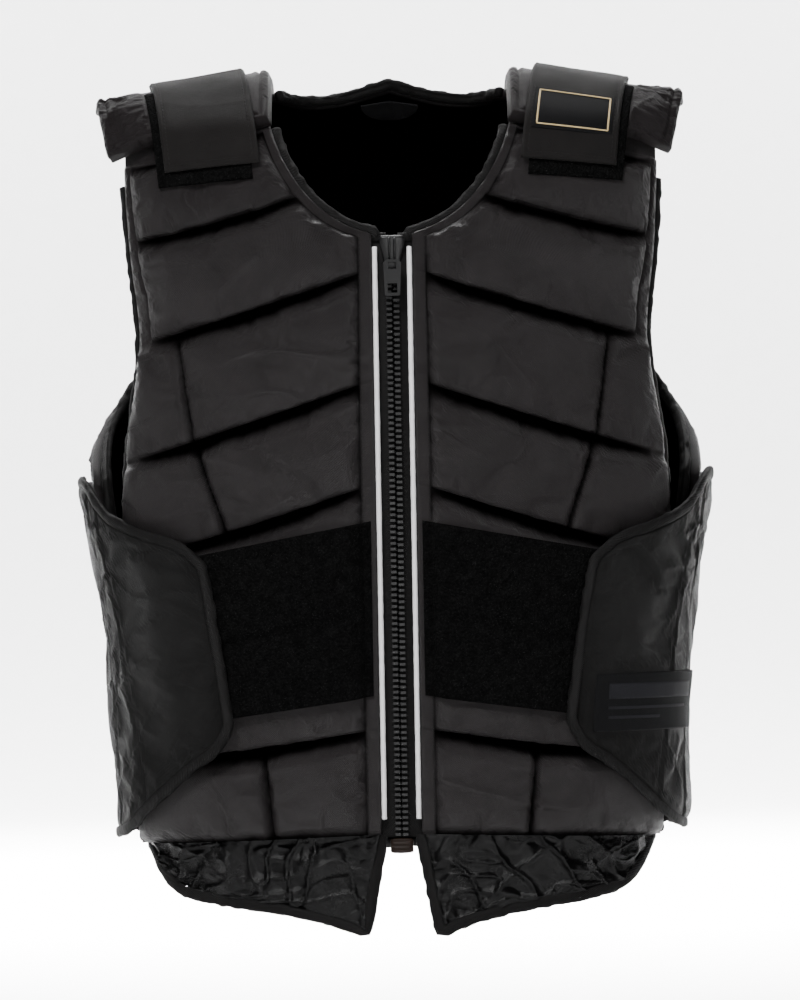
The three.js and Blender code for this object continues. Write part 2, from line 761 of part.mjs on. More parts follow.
function piping() {
  const half = pipingWidth / 2;
  const middle = toothLift + half;
  const section = Array.from({ length: 6 }, (_, k) => (
    [half * Math.cos(toRadians(60 * k)), middle + half * Math.sin(toRadians(60 * k))]));
  return bar(zipLine(centreEdge - edgeGap - half, zipTop - pipingTopGap, zipFoot + pipingFootGap, 14), section);
}

const wasm = await Module();
wasm.setup();

function asManifold(geometry) {
  const plain = geometry.clone();
  plain.deleteAttribute('normal');
  plain.deleteAttribute('uv');
  const merged = mergeVertices(plain, 1e-4);
  const vertProperties = Float32Array.from(merged.getAttribute('position').array);
  const triVerts = Uint32Array.from(merged.getIndex().array);
  return new wasm.Manifold(new wasm.Mesh({ numProp: 3, vertProperties, triVerts }));
}

function fromManifold(solid) {
  const { vertProperties, triVerts } = solid.getMesh();
  const geometry = new THREE.BufferGeometry();
  geometry.setAttribute('position', new THREE.BufferAttribute(vertProperties, 3));
  geometry.setIndex(new THREE.BufferAttribute(triVerts, 1));
  geometry.computeVertexNormals();
  return geometry;
}

// Slider: a tapered body with a round bail on its front. Its own frame has the bail's eye
// as origin, x across and the front towards -Y.
const bodyBack = bailStand + sliderThickness;

function sliderBody() {
  const top = sliderLength - eyeAboveFoot;
  const outline = new THREE.Shape();
  outline.moveTo(-sliderWidth / 2, top - sliderShoulder);
  outline.lineTo(-sliderFootWidth / 2, -eyeAboveFoot);
  outline.lineTo(sliderFootWidth / 2, -eyeAboveFoot);
  outline.lineTo(sliderWidth / 2, top - sliderShoulder);
  outline.quadraticCurveTo(sliderWidth / 2, top, sliderWidth / 4, top);
  outline.lineTo(-sliderWidth / 4, top);
  outline.quadraticCurveTo(-sliderWidth / 2, top, -sliderWidth / 2, top - sliderShoulder);
  const body = new THREE.ExtrudeGeometry(outline, { depth: sliderThickness, bevelEnabled: false, curveSegments: 3 });
  return body.rotateX(Math.PI / 2).translate(0, bodyBack, 0);
}

function sliderBail() {
  const ring = new THREE.Shape().absarc(0, 0, bailRadius, 0, Math.PI * 2);
  ring.holes.push(new THREE.Path().absarc(0, 0, bailEye, 0, Math.PI * 2));
  const bail = new THREE.ExtrudeGeometry(ring, { depth: bailWidth, bevelEnabled: false, curveSegments: 6 });
  return bail.rotateY(Math.PI / 2).translate(-bailWidth / 2, 0, 0);
}

function pullTab() {
  const bar = pullThickness / 2;
  const outline = new THREE.Shape();
  outline.moveTo(-pullWidth / 2 + 2, bar);
  outline.lineTo(-pullWidth / 2, bar - 2);
  outline.lineTo(-pullFootWidth / 2, bar - pullLength + 1);
  outline.lineTo(-pullFootWidth / 2 + 1, bar - pullLength);
  outline.lineTo(pullFootWidth / 2 - 1, bar - pullLength);
  outline.lineTo(pullFootWidth / 2, bar - pullLength + 1);
  outline.lineTo(pullWidth / 2, bar - 2);
  outline.lineTo(pullWidth / 2 - 2, bar);
  const window = (halfWidth, top, height) => {
    const hole = new THREE.Path();
    hole.moveTo(-halfWidth, top);
    hole.lineTo(halfWidth, top);
    hole.lineTo(halfWidth, top - height);
    hole.lineTo(-halfWidth, top - height);
    return hole;
  };
  outline.holes.push(window(pullWindowWidth / 2, -bar, pullWindowHeight));
  outline.holes.push(window(pullHole / 2, bar - pullLength + 2 + pullHole, pullHole));
  const tab = new THREE.ExtrudeGeometry(outline, { depth: pullThickness, bevelEnabled: false });
  return tab.rotateX(Math.PI / 2).translate(0, pullThickness / 2, 0);
}

function bottomBox() {
  const box = new THREE.BoxGeometry(boxWidth, boxThickness, boxHeight);
  const place = lifted(frontPlace(0, zipFoot - edgeGap - boxHeight / 2), toothLift + toothHeight / 2);
  return box.translate(0, place.y, place.z);
}

// Half-moon label inside the back of the neck.
function neckLabel() {
  const top = backPanelPlace(backPanelRows()[0], backColumns[0], 1).level - labelDrop;
  const lift = innerLift - labelGap;
  return sheet([0, 0.3, 0.6, 0.85, 1].map((down) => {
    const half = labelHalfWidth * Math.max(Math.sqrt(1 - down ** 2), 0.25);
    return [-1, -0.5, 0, 0.5, 1].map((across) => {
      const turn = Math.PI - Math.asin(half * across / halfWidthAt(0));
      return { turn, level: top - labelHeight * down, outer: lift, inner: lift - patchThickness };
    });
  }));
}

addPair('front_panel', frontPanel(), padCloth);
add('back_panel', backPanel(), padCloth());
addPair('shoulder_bridge', bridge(), padCloth);
addPair('strap_loop_patch', strapLoop(), loopCloth);
addPair('shoulder_strap', strap(), strapCloth);
add('strap_patch', strapPatch(), labelCloth());
addPair('waist_loop_patch', waistPatch(), loopCloth);
addPair('side_flap', flap(), flapCloth);
add('flap_patch', flapPatch(), labelCloth());
addPair('hem_skirt', skirt(), skirtCloth);
addPair('front_neck_binding', neckBinding(), bindingCloth);
addPair('armhole_binding', armholeBinding(), bindingCloth);
addPair('back_side_binding', backArmholeBinding(), bindingCloth);
add('back_neck_binding', backNeckBinding(), bindingCloth());
add('back_hem_binding', backHemBinding(), bindingCloth());
addPair('flap_binding', flapBinding(), bindingCloth);
addPair('hem_binding', skirtBinding(), bindingCloth);
addPair('zip_tape', zipTape(), bindingCloth);
addPair('zip_teeth', zipTeeth(), zipPlastic);
addPair('piping', piping(), reflective);
add('zip_bottom_box', bottomBox(), retainerPlastic());
add('neck_label', neckLabel(), labelCloth());

const sliderFront = toothLift + sliderThickness;
const eyeHeight = zipTop - sliderTopGap - sliderLength + eyeAboveFoot;
const eye = lifted(frontPlace(0, eyeHeight), sliderFront + bailStand);
const chainFoot = lifted(frontPlace(0, toothTop - pullLength), toothLift);
const chainHead = lifted(frontPlace(0, toothTop), toothLift);
const zipLean = Math.atan2(chainFoot.y - chainHead.y, chainHead.z - chainFoot.z);
const slider = add('zip_slider', fromManifold(asManifold(sliderBody()).add(asManifold(sliderBail()))), zipPlastic());
slider.position.copy(eye);
slider.rotation.x = zipLean;
const pull = add('zip_pull', pullTab(), zipPlastic());
pull.position.copy(eye);
pull.rotation.x = zipLean;

export default vest;
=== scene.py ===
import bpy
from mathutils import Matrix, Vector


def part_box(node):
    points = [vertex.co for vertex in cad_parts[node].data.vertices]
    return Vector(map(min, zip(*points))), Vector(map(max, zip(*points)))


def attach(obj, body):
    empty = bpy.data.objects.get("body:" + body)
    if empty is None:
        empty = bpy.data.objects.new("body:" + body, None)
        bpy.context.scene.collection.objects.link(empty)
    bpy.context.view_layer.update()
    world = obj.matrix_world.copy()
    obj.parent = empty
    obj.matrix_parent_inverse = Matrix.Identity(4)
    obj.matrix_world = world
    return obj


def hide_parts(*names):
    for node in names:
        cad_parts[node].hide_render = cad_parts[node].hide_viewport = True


bl_info = {
    "name": "Padded riding vest",
    "version": (1, 0, 0),
    "blender": (4, 5, 0),
    "location": "3D View > Sidebar > Riding vest",
    "description": "Dresses the frame of a padded riding vest with quilted cloth, tapes, straps and a zip",
    "category": "Object",
}

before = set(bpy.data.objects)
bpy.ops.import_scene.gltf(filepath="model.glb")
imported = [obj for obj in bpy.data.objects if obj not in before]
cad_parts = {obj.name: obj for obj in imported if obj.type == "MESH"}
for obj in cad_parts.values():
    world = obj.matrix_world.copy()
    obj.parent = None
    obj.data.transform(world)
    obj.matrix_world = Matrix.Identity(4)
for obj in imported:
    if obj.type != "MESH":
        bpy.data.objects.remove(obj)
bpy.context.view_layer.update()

import itertools
import math

import bmesh
import bpy
import numpy as np
from mathutils import Vector

MM = 0.001
BODY = "vest"

# Form of the worn vest in millimetres, front towards -Y, with z = 0 on the wearer's shoulders.
TRUNK_LENGTH = 485.0
CHEST_HALF_WIDTH = 207.0
FRONT_DEPTH = 125.0
BACK_DEPTH = 120.0
RING_POWER = 2.5
FRONT_CROWN_POWER = 2.0
BACK_CROWN_POWER = 3.0
CROWN_FOOT = -108.0
RISE_LENGTH = 190.0
PAD_THICKNESS = 20.0
SHOULDER_CENTRE = 137.0
SHOULDER_SLOPE = math.radians(9.5)
NECK_HALF_WIDTH = 84.0
NECK_DEPTH = 112.0
ZIP_EDGE = 13.5
TAB_ANGLE = 76.0
SEAM_LIFT = -11.0
EDGE_LIFT = -12.0
BAND_LIFT = -9.0
INNER_LIFT = -20.0
BAND_SHARE = 0.055
STRIP_SHARE = 0.93
BINDING_WIDTH = 6.0

# Rings of the trunk: drop below the shoulder seat as a share of the trunk's length, and the
# half width and the depths as shares of the widest ones.
RINGS = [
    {"drop": -0.10, "width": 0.98, "front": 0.84, "back": 0.92},
    {"drop": 0.12, "width": 0.98, "front": 0.87, "back": 0.95},
    {"drop": 0.30, "width": 0.985, "front": 0.96, "back": 1.0},
    {"drop": 0.50, "width": 1.0, "front": 1.0, "back": 0.98},
    {"drop": 0.61, "width": 0.966, "front": 1.0, "back": 0.93},
    {"drop": 0.72, "width": 0.935, "front": 0.985, "back": 0.89},
    {"drop": 0.83, "width": 0.911, "front": 0.96, "back": 0.88},
    {"drop": 0.96, "width": 0.899, "front": 0.935, "back": 0.91},
    {"drop": 1.15, "width": 0.889, "front": 0.92, "back": 0.93},
]

# Seams of a front panel from the shoulder tab down, as shares of the trunk's length at the
# centre edge and at the side edge. side is the side edge as a share of the chest's half width,
# upright is where the upright seam crosses, split says whether it parts the row below.
FRONT_SEAMS = [
    {"inner": 0.0, "outer": 0.0, "side": 0.872, "upright": 0.72, "pad": 0, "split": 0},
    {"inner": 0.012, "outer": 0.072, "side": 0.887, "upright": 0.72, "pad": 1, "split": 0},
    {"inner": 0.113, "outer": 0.181, "side": 0.875, "upright": 0.76, "pad": 1, "split": 0},
    {"inner": 0.221, "outer": 0.321, "side": 0.842, "upright": 0.825, "pad": 1, "split": 1},
    {"inner": 0.372, "outer": 0.481, "side": 0.894, "upright": 0.705, "pad": 1, "split": 1},
    {"inner": 0.512, "outer": 0.619, "side": 0.908, "upright": 0.575, "pad": 1, "split": 0},
    {"inner": 0.684, "outer": 0.760, "side": 0.889, "upright": 0.52, "pad": 1, "split": 0},
    {"inner": 0.844, "outer": 0.887, "side": 0.885, "upright": 0.46, "pad": 1, "split": 1},
    {"inner": 0.985, "outer": 0.997, "side": 0.875, "upright": 0.43, "pad": 0, "split": 0},
]

# Seams of the back panel as shares of the trunk's length at the back's centre and side, with
# the side edge's angle from the back's centre line.
BACK_SEAMS = [
    {"centre": 0.05, "side": 0.072, "turn": 57},
    {"centre": 0.190, "side": 0.200, "turn": 55},
    {"centre": 0.345, "side": 0.350, "turn": 55},
    {"centre": 0.500, "side": 0.515, "turn": 96},
    {"centre": 0.665, "side": 0.672, "turn": 96},
    {"centre": 0.835, "side": 0.832, "turn": 96},
    {"centre": 1.010, "side": 0.985, "turn": 96},
]
BACK_TOP = [
    {"across": 0.0, "rise": 60},
    {"across": 0.2, "rise": 56},
    {"across": 0.34, "rise": 62},
    {"across": 0.42, "rise": TAB_ANGLE},
    {"across": 1.0, "rise": TAB_ANGLE},
]
SPINE_ANGLE = 38.0
SPINE_SEAM = 0.47
FLANK_SEAM = 1.34

FLAP_BACK_ANGLE = 112.0
FLAP_TOP = [
    {"turn": 37, "drop": 0.621},
    {"turn": 41, "drop": 0.597},
    {"turn": 49, "drop": 0.580},
    {"turn": 60, "drop": 0.556},
    {"turn": 73, "drop": 0.510},
    {"turn": 90, "drop": 0.512},
    {"turn": FLAP_BACK_ANGLE, "drop": 0.515},
]
FLAP_FOOT = [
    {"turn": 34, "drop": 0.832},
    {"turn": 36, "drop": 0.855},
    {"turn": 42, "drop": 0.882},
    {"turn": 52, "drop": 0.925},
    {"turn": 63, "drop": 0.962},
    {"turn": 78, "drop": 0.976},
    {"turn": FLAP_BACK_ANGLE, "drop": 0.976},
]
SKIRT_FOOT = [
    {"across": 0.126, "drop": 1.112},
    {"across": 0.20, "drop": 1.099},
    {"across": 0.38, "drop": 1.081},
    {"across": 0.64, "drop": 1.064},
    {"across": 0.765, "drop": 1.049},
    {"across": 0.820, "drop": 1.026},
]
BRIDGE_FRONT = [
    {"share": 0.0, "drop": 0.012},
    {"share": 0.75, "drop": 0.039},
    {"share": 1.0, "drop": 0.062},
]


def column(table, name):
    return np.array([row[name] for row in table], dtype=float)


def numbered(seams, name):
    """One column of a table of seams, with the seams' numbers beside it."""
    return [{"at": i, name: seam[name]} for i, seam in enumerate(seams)]


def read(table, key, at, name):
    """A column of a table at places of its key column, on a smooth curve through the rows."""
    keys = column(table, key)
    values = column(table, name)
    slopes = np.diff(values) / np.diff(keys)
    tangents = np.concatenate([slopes[:1], (slopes[:-1] + slopes[1:]) / 2, slopes[-1:]])
    at = np.clip(at, keys[0], keys[-1])
    i = np.clip(np.searchsorted(keys, at, side="right") - 1, 0, len(keys) - 2)
    span = keys[i + 1] - keys[i]
    share = (at - keys[i]) / span
    square = share * share
    cube = square * share
    return (
        (2 * cube - 3 * square + 1) * values[i]
        + (cube - 2 * square + share) * span * tangents[i]
        + (3 * square - 2 * cube) * values[i + 1]
        + (cube - square) * span * tangents[i + 1]
    )


def mix(low, high, share):
    return low + (high - low) * share


def ease(value):
    """Smooth step from 0 to 1."""
    value = np.clip(value, 0.0, 1.0)
    return value * value * (3 - 2 * value)


def squircle(angle, power):
    """Sine and cosine on a superellipse, a rounded square that a power of 2 makes a circle."""
    sine = np.sin(angle)
    cosine = np.cos(angle)
    size = (np.abs(sine) ** power + np.abs(cosine) ** power) ** (1 / power)
    return sine / size, cosine / size


def half_width_at(z):
    return CHEST_HALF_WIDTH * read(RINGS, "drop", -np.minimum(z, CROWN_FOOT) / TRUNK_LENGTH, "width")


def ridge_at(x):
    return PAD_THICKNESS + math.tan(SHOULDER_SLOPE) * (SHOULDER_CENTRE - np.abs(x))


def skin(turn, level):
    """Points of the pads' outer face at angles round the body and levels up it. Level 0 is
    the crown's foot, and above it the level runs along the arc over the shoulder."""
    turn, level = np.broadcast_arrays(np.asarray(turn, float), np.asarray(level, float))
    rise = np.maximum(level, 0) / RISE_LENGTH * np.pi / 2
    over = rise > np.pi / 2
    back = over != (np.cos(turn) < 0)
    rise = np.where(over, np.pi - rise, rise)
    front_sine, front_cosine = squircle(rise, FRONT_CROWN_POWER)
    back_sine, back_cosine = squircle(rise, BACK_CROWN_POWER)
    crown_sine = np.where(back, back_sine, front_sine)
    crown_cosine = np.where(back, back_cosine, front_cosine)
    trunk = CROWN_FOOT + np.minimum(level, 0)
    ring_sine, ring_cosine = squircle(turn, RING_POWER)
    x = half_width_at(trunk) * ring_sine
    z = np.where(level > 0, mix(CROWN_FOOT, ridge_at(x), crown_sine), trunk)
    front = FRONT_DEPTH * read(RINGS, "drop", -z / TRUNK_LENGTH, "front")
    rear = BACK_DEPTH * read(RINGS, "drop", -z / TRUNK_LENGTH, "back")
    depth = np.where(back, rear, front) * np.abs(ring_cosine) * np.where(level > 0, crown_cosine, 1.0)
    return np.stack([x, np.where(back, depth, -depth), z], axis=-1)


def unit(vectors):
    return vectors / np.maximum(np.linalg.norm(vectors, axis=-1, keepdims=True), 1e-9)


def skin_normal(turn, level):
    step = 0.012
    around = skin(turn + step, level) - skin(turn - step, level)
    upward = skin(turn, level + 1.5) - skin(turn, level - 1.5)
    normal = unit(np.cross(around, upward))
    point = skin(turn, level)
    centre = np.zeros_like(point)
    centre[..., 2] = np.minimum(point[..., 2], CROWN_FOOT)
    outward = np.sum(normal * (point - centre), axis=-1, keepdims=True)
    return np.where(outward < 0, -normal, normal)


def lifted(turn, level, lift):
    turn, level, lift = np.broadcast_arrays(turn, level, lift)
    return skin(turn, level) + skin_normal(turn, level) * lift[..., None]


def mirror_x(points, side):
    return points * np.array([side, 1.0, 1.0])


def placed(side, turn, level, lift):
    """Points above the skin on the left side, or their mirror image on the right."""
    return mirror_x(lifted(turn, level, lift), side)


def grid(rows, columns):
    """Shares down and across a cloth of rows by columns of points."""
    return np.broadcast_arrays(np.linspace(0, 1, rows)[:, None], np.linspace(0, 1, columns)[None, :])


def rim_gap(u, v, width, height):
    """Distance of a cloth's points from its nearest edge."""
    return np.minimum(np.minimum(u, width - u), np.minimum(v, height - v))


def hump(distance, width):
    """A soft ridge: 1 at no distance, and almost 0 from twice the width on."""
    return np.exp(-((distance / width) ** 2))


def crown_level(x, z, power):
    climb = np.clip((z - CROWN_FOOT) / (ridge_at(x) - CROWN_FOOT), 0.0, 0.9999)
    rise = np.arctan2(climb, (1 - climb**power) ** (1 / power))
    return np.where(z <= CROWN_FOOT, z - CROWN_FOOT, rise / (np.pi / 2) * RISE_LENGTH)


def front_place(x, z):
    """Turn and level of the front face's points that stand at x and z in the front view."""
    share = np.clip(np.abs(x / half_width_at(z)), 0.0, 0.999)
    turn = np.arctan2(share, (1 - share**RING_POWER) ** (1 / RING_POWER)) * np.sign(x)
    return turn, crown_level(x, z, FRONT_CROWN_POWER)


def shoulder_place(x, angle):
    """Turn and level on the arc over the shoulder at x and a rise in degrees."""
    turn, _ = front_place(x, np.full_like(x, CROWN_FOOT))
    return turn, angle / 90 * RISE_LENGTH


def noise(points, seed):
    """Smooth noise from -1 to 1 at points, the same on every run."""
    cell = np.floor(points).astype(np.int64)
    local = points - cell
    fade = local**3 * (local * (local * 6 - 15) + 10)
    total = np.zeros(points.shape[:-1])
    for corner in itertools.product((0, 1), repeat=points.shape[-1]):
        offset = np.array(corner)
        primes = np.array([73856093, 19349663, 83492791])[: points.shape[-1]]
        key = ((cell + offset) * primes).sum(axis=-1) + seed * 40503
        key = (key ^ (key >> 13)) * 1274126177 & 0xFFFFFFFF
        key = (key ^ (key >> 16)) * 668265263 & 0xFFFFFFFF
        value = (key & 0xFFFF) / 32767.5 - 1
        total += value * np.prod(np.where(offset, fade, 1 - fade), axis=-1)
    return total


def ripples(u, v, length_u, length_v, seed):
    """Noise on a cloth whose coordinates are in millimetres, with a wavelength each way."""
    return noise(np.stack(np.broadcast_arrays(u / length_u, v / length_v), axis=-1), seed)


def creases(u, v, length, angle, seed):
    """Sharp creases that run at an angle over a cloth, from 0 to 1 on their tops."""
    along = u * math.cos(angle) + v * math.sin(angle)
    aside = v * math.cos(angle) - u * math.sin(angle)
    bend = ripples(along, aside, length * 2.5, length * 2.5, seed + 3) * length * 0.6
    field = ripples(along, aside + bend, length * 3.2, length, seed)
    return (1 - np.abs(field)) ** 4


def side_name(name, side):
    return f"{name}_{'left' if side > 0 else 'right'}"


def make_mesh(name, points, faces, uvs=None, painted_shade=None):
    """A mesh object from points in millimetres, with its cloth coordinates in metres."""
    mesh = bpy.data.meshes.new(name)
    mesh.from_pydata((points * MM).tolist(), [], faces)
    if uvs is not None:
        layer = mesh.uv_layers.new(name="Cloth")
        corners = np.empty(len(mesh.loops), dtype=np.int32)
        mesh.loops.foreach_get("vertex_index", corners)
        layer.data.foreach_set("uv", (uvs[corners] * MM).astype(np.float32).ravel())
    # Painted shade: a point attribute whose share darkens the cloth in its seams and on its lining.
    if painted_shade is not None:
        shade = mesh.attributes.new("PaintedShade", "FLOAT", "POINT")
        shade.data.foreach_set("value", painted_shade.astype(np.float32).ravel())
    mesh.polygons.foreach_set("use_smooth", np.full(len(mesh.polygons), True))
    mesh.update()
    piece = bpy.data.objects.new(name, mesh)
    bpy.context.scene.collection.objects.link(piece)
    return piece


def signed_volume(points, faces):
    corners = points[np.array([face[:3] for face in faces])]
    return float(np.sum(corners[:, 0] * np.cross(corners[:, 1], corners[:, 2])))


def facing_out(points, faces):
    """The faces of a closed form, turned so that they point outwards."""
    if signed_volume(points, faces) < 0:
        return [face[::-1] for face in faces]
    return faces


def grid_faces(rows, columns, start=0, flip=False):
    first = (np.arange(rows - 1)[:, None] * columns + np.arange(columns - 1)[None, :]).ravel() + start
    quads = np.stack([first, first + columns, first + columns + 1, first + 1], axis=1)
    return (quads[:, ::-1] if flip else quads).tolist()


# Painted shade: the share that the lining inside the vest gets all over, the lift at which painted shade
# starts in the quilted cloth's seams, and the depth over which it grows to full.
LINING_SHADE = 1.0
SEAM_SHADE_START = -4.5
SEAM_SHADE_DEPTH = 6.0


def seam_shade_share(lift):
    """Share of painted shade on a point of the quilted cloth, from 0 to 1: more the deeper in a seam it
    lies.
    """
    return ease((SEAM_SHADE_START - lift) / SEAM_SHADE_DEPTH)


def cloth_lengths(points):
    """Lengths along the middle column and row of a grid, so that cloth patterns keep their scale."""
    down = np.linalg.norm(np.diff(points, axis=0), axis=-1).mean(axis=1)
    across = np.linalg.norm(np.diff(points, axis=1), axis=-1).mean(axis=0)
    v = -np.concatenate([[0], np.cumsum(down)])
    u = np.concatenate([[0], np.cumsum(across)])
    return np.stack(np.broadcast_arrays(u[None, :], v[:, None]), axis=-1)


def shell(name, outer, inner, painted_shade=None):
    """A closed cloth between an outer and an inner grid of points of the same shape. The last
    argument gives each outer point a share of painted shade, from 0 to 1 by how deep in a seam it
    lies, and the inner points, the lining, get LINING_SHADE of it."""
    rows, columns = outer.shape[:2]
    count = rows * columns
    points = np.concatenate([outer.reshape(-1, 3), inner.reshape(-1, 3)])
    uv = cloth_lengths(outer).reshape(-1, 2)
    faces = grid_faces(rows, columns) + grid_faces(rows, columns, count, flip=True)
    rim = (
        [(0, j) for j in range(columns)]
        + [(i, columns - 1) for i in range(1, rows)]
        + [(rows - 1, j) for j in range(columns - 2, -1, -1)]
        + [(i, 0) for i in range(rows - 2, 0, -1)]
    )
    ring = [i * columns + j for i, j in rim]
    for a, b in zip(ring, ring[1:] + ring[:1]):
        faces.append([a, b, b + count, a + count])
    # The lining, inside the vest, gets painted shade as well.
    if painted_shade is not None:
        painted_shade = np.concatenate([painted_shade.ravel(), np.full(count, LINING_SHADE)])
    return make_mesh(name, points, facing_out(points, faces), np.concatenate([uv, uv]), painted_shade=painted_shade)


def sewn_cloth(name, side, turn, level, outer_lift, inner_lift):
    """A closed cloth between two heights above the skin."""
    return shell(name, placed(side, turn, level, outer_lift), placed(side, turn, level, inner_lift))


def tube(name, centres, asides, normals, section, closed=False):
    """A closed tape or cord along a line. section gives, for each point of the line, an outline
    of aside and normal lengths in millimetres, as an array of points by corners by 2."""
    count, sides = section.shape[:2]
    points = centres[:, None] + asides[:, None] * section[..., :1] + normals[:, None] * section[..., 1:]
    faces = []
    last = count if closed else count - 1
    for i in range(last):
        here = i * sides
        there = (i + 1) % count * sides
        for k in range(sides):
            faces.append([here + k, here + (k + 1) % sides, there + (k + 1) % sides, there + k])
    if not closed:
        faces.append(list(range(sides))[::-1])
        faces.append(list(range((count - 1) * sides, count * sides)))
    flat = points.reshape(-1, 3)
    length = np.concatenate([[0], np.cumsum(np.linalg.norm(np.diff(centres, axis=0), axis=1))])
    around = np.concatenate([[0], np.cumsum(np.linalg.norm(np.diff(section[0], axis=0), axis=1))])
    uv = np.stack(np.broadcast_arrays(around[None, :], length[:, None]), axis=-1).reshape(-1, 2)
    return make_mesh(name, flat, facing_out(flat, faces), uv)


def resampled(step, *lines):
    """Lines of points cut into even steps along the first of them."""
    length = np.concatenate([[0], np.cumsum(np.linalg.norm(np.diff(lines[0], axis=0), axis=1))])
    cuts = np.linspace(0, length[-1], max(int(length[-1] / step), 2) + 1)
    return [np.stack([np.interp(cuts, length, part) for part in line.T], axis=1) for line in lines]


def line_frame(points, normals):
    """Asides of a line on the skin: to the right hand of its direction."""
    along = unit(np.gradient(points, axis=0))
    return unit(np.cross(along, normals))


def oval(middle, half_width, half_height, corners, power=2.6):
    angles = np.linspace(0, 2 * np.pi, corners, endpoint=False)
    sine, cosine = squircle(angles, power)
    return np.stack([middle[0] + half_width * cosine, middle[1] + half_height * sine], axis=-1)


TAPE_STEP = 1.6
TAPE_CORNERS = 14
STITCH_DIP = 0.0875
STITCH_PITCH = 4.2


def binding(name, turn, level, side, lift, width, height, seed):
    """Folded tape along an edge of the skin, with the small puckers that its stitches pull."""
    places = np.stack([turn, level, np.broadcast_to(lift, np.shape(turn))], axis=1)
    surface = skin(turn, level)
    line, places = resampled(TAPE_STEP, surface, places)
    normals = skin_normal(places[:, 0], places[:, 1])
    asides = line_frame(line, normals) * side
    lengths = np.arange(len(line)) * TAPE_STEP
    base = oval((width / 2 - 0.6, 0.0), width / 2 + 0.6, height / 2, TAPE_CORNERS)
    pucker = ripples(lengths[:, None], np.arange(TAPE_CORNERS)[None, :] * 2.0, 5.5, 5.0, seed)
    wander = ripples(lengths, np.zeros_like(lengths), 28.0, 1.0, seed + 1)
    section = base[None] * (1 + 0.13 * pucker)[..., None]
    section[..., 0] += 0.45 * wander[:, None]
    dips = STITCH_DIP * np.sin(lengths * 2 * np.pi / STITCH_PITCH)
    section[..., 1] += (places[:, 2] + dips)[:, None]
    return tube(name, line, asides, normals, section)


class Value:
    """A shader socket that Python's own operators work on."""

    def __init__(self, tree, socket):
        self.tree = tree
        self.socket = socket

    def _math(self, operation, first, second=None):
        node = self.tree.nodes.new("ShaderNodeMath")
        node.operation = operation
        for socket, value in zip(node.inputs, (first, second)):
            if isinstance(value, Value):
                self.tree.links.new(value.socket, socket)
            elif value is not None:
                socket.default_value = value
        return Value(self.tree, node.outputs[0])

    def __add__(self, other):
        return self._math("ADD", self, other)

    def __radd__(self, other):
        return self._math("ADD", other, self)

    def __sub__(self, other):
        return self._math("SUBTRACT", self, other)

    def __rsub__(self, other):
        return self._math("SUBTRACT", other, self)

    def __mul__(self, other):
        return self._math("MULTIPLY", self, other)

    def __rmul__(self, other):
        return self._math("MULTIPLY", other, self)

    def __truediv__(self, other):
        return self._math("DIVIDE", self, other)

    def sine(self):
        return self._math("SINE", self)

    def at_most(self, other):
        return self._math("MINIMUM", self, other)

    def at_least(self, other):
        return self._math("MAXIMUM", self, other)


class Finish:
    """A material under construction: every node but the Math ones comes from its node method."""

    def __init__(self, name):
        self.material = bpy.data.materials.new(name)
        self.material.use_nodes = True
        self.tree = self.material.node_tree
        self.tree.nodes.clear()
        self.output = self.node("ShaderNodeOutputMaterial")

    def node(self, kind, settings=None, **values):
        node = self.tree.nodes.new(kind)
        for name, value in (settings or {}).items():
            setattr(node, name, value)
        for name, value in values.items():
            socket = node.inputs[name.replace("_", " ")]
            if isinstance(value, Value):
                self.tree.links.new(value.socket, socket)
            else:
                socket.default_value = value
        return node

    def value(self, node, output=0):
        return Value(self.tree, node.outputs[output])

    def cloth(self):
        """Cloth coordinates in metres, as two values."""
        uv = self.node("ShaderNodeUVMap", {"uv_map": "Cloth"})
        parts = self.node("ShaderNodeSeparateXYZ", Vector=self.value(uv))
        return self.value(parts, 0), self.value(parts, 1)

    def place(self):
        return self.value(self.node("ShaderNodeTexCoord"), "Object")

    def speckle(self, scale, detail=2.0, roughness=0.5):
        """Noise in object space, about 0.5 on average."""
        values = {"Scale": scale, "Detail": detail, "Roughness": roughness}
        return self.value(self.node("ShaderNodeTexNoise", Vector=self.place(), **values))

    def tint(self, share, dark, light):
        """A colour between a dark and a light one, by share."""
        blend = self.node("ShaderNodeMix", {"data_type": "RGBA"})
        self.tree.links.new(share.socket, blend.inputs["Factor"])
        blend.inputs[6].default_value = (*dark, 1)
        blend.inputs[7].default_value = (*light, 1)
        return self.value(blend, 2)

    def relief(self, height, distance, normal=None):
        bump = self.node("ShaderNodeBump", Height=height, Distance=distance, Strength=1.0)
        if normal:
            self.tree.links.new(normal.socket, bump.inputs["Normal"])
        return self.value(bump)

    def surface(self, **values):
        shader = self.node("ShaderNodeBsdfPrincipled", **values)
        self.tree.links.new(shader.outputs[0], self.output.inputs[0])
        return self.material

    def mix_painted_shade(self, share, colour):
        """Paints shade: mixes a plain dark cloth without any sheen into the surface, by share."""
        sheen = self.output.inputs[0].links[0].from_socket
        values = {"Base_Color": (*colour, 1), "Roughness": 1.0, "Specular_IOR_Level": 0.0}
        dull = self.node("ShaderNodeBsdfPrincipled", **values)
        mixed = self.node("ShaderNodeMixShader", Fac=share)
        self.tree.links.new(sheen, mixed.inputs[1])
        self.tree.links.new(dull.outputs[0], mixed.inputs[2])
        self.tree.links.new(mixed.outputs[0], self.output.inputs[0])
        return self.material


def shaded(colour, share):
    """A colour made darker or lighter."""
    return tuple(part * share for part in colour)


THREAD_PITCH = 0.0011
TIGHT_WEAVE = 0.00022


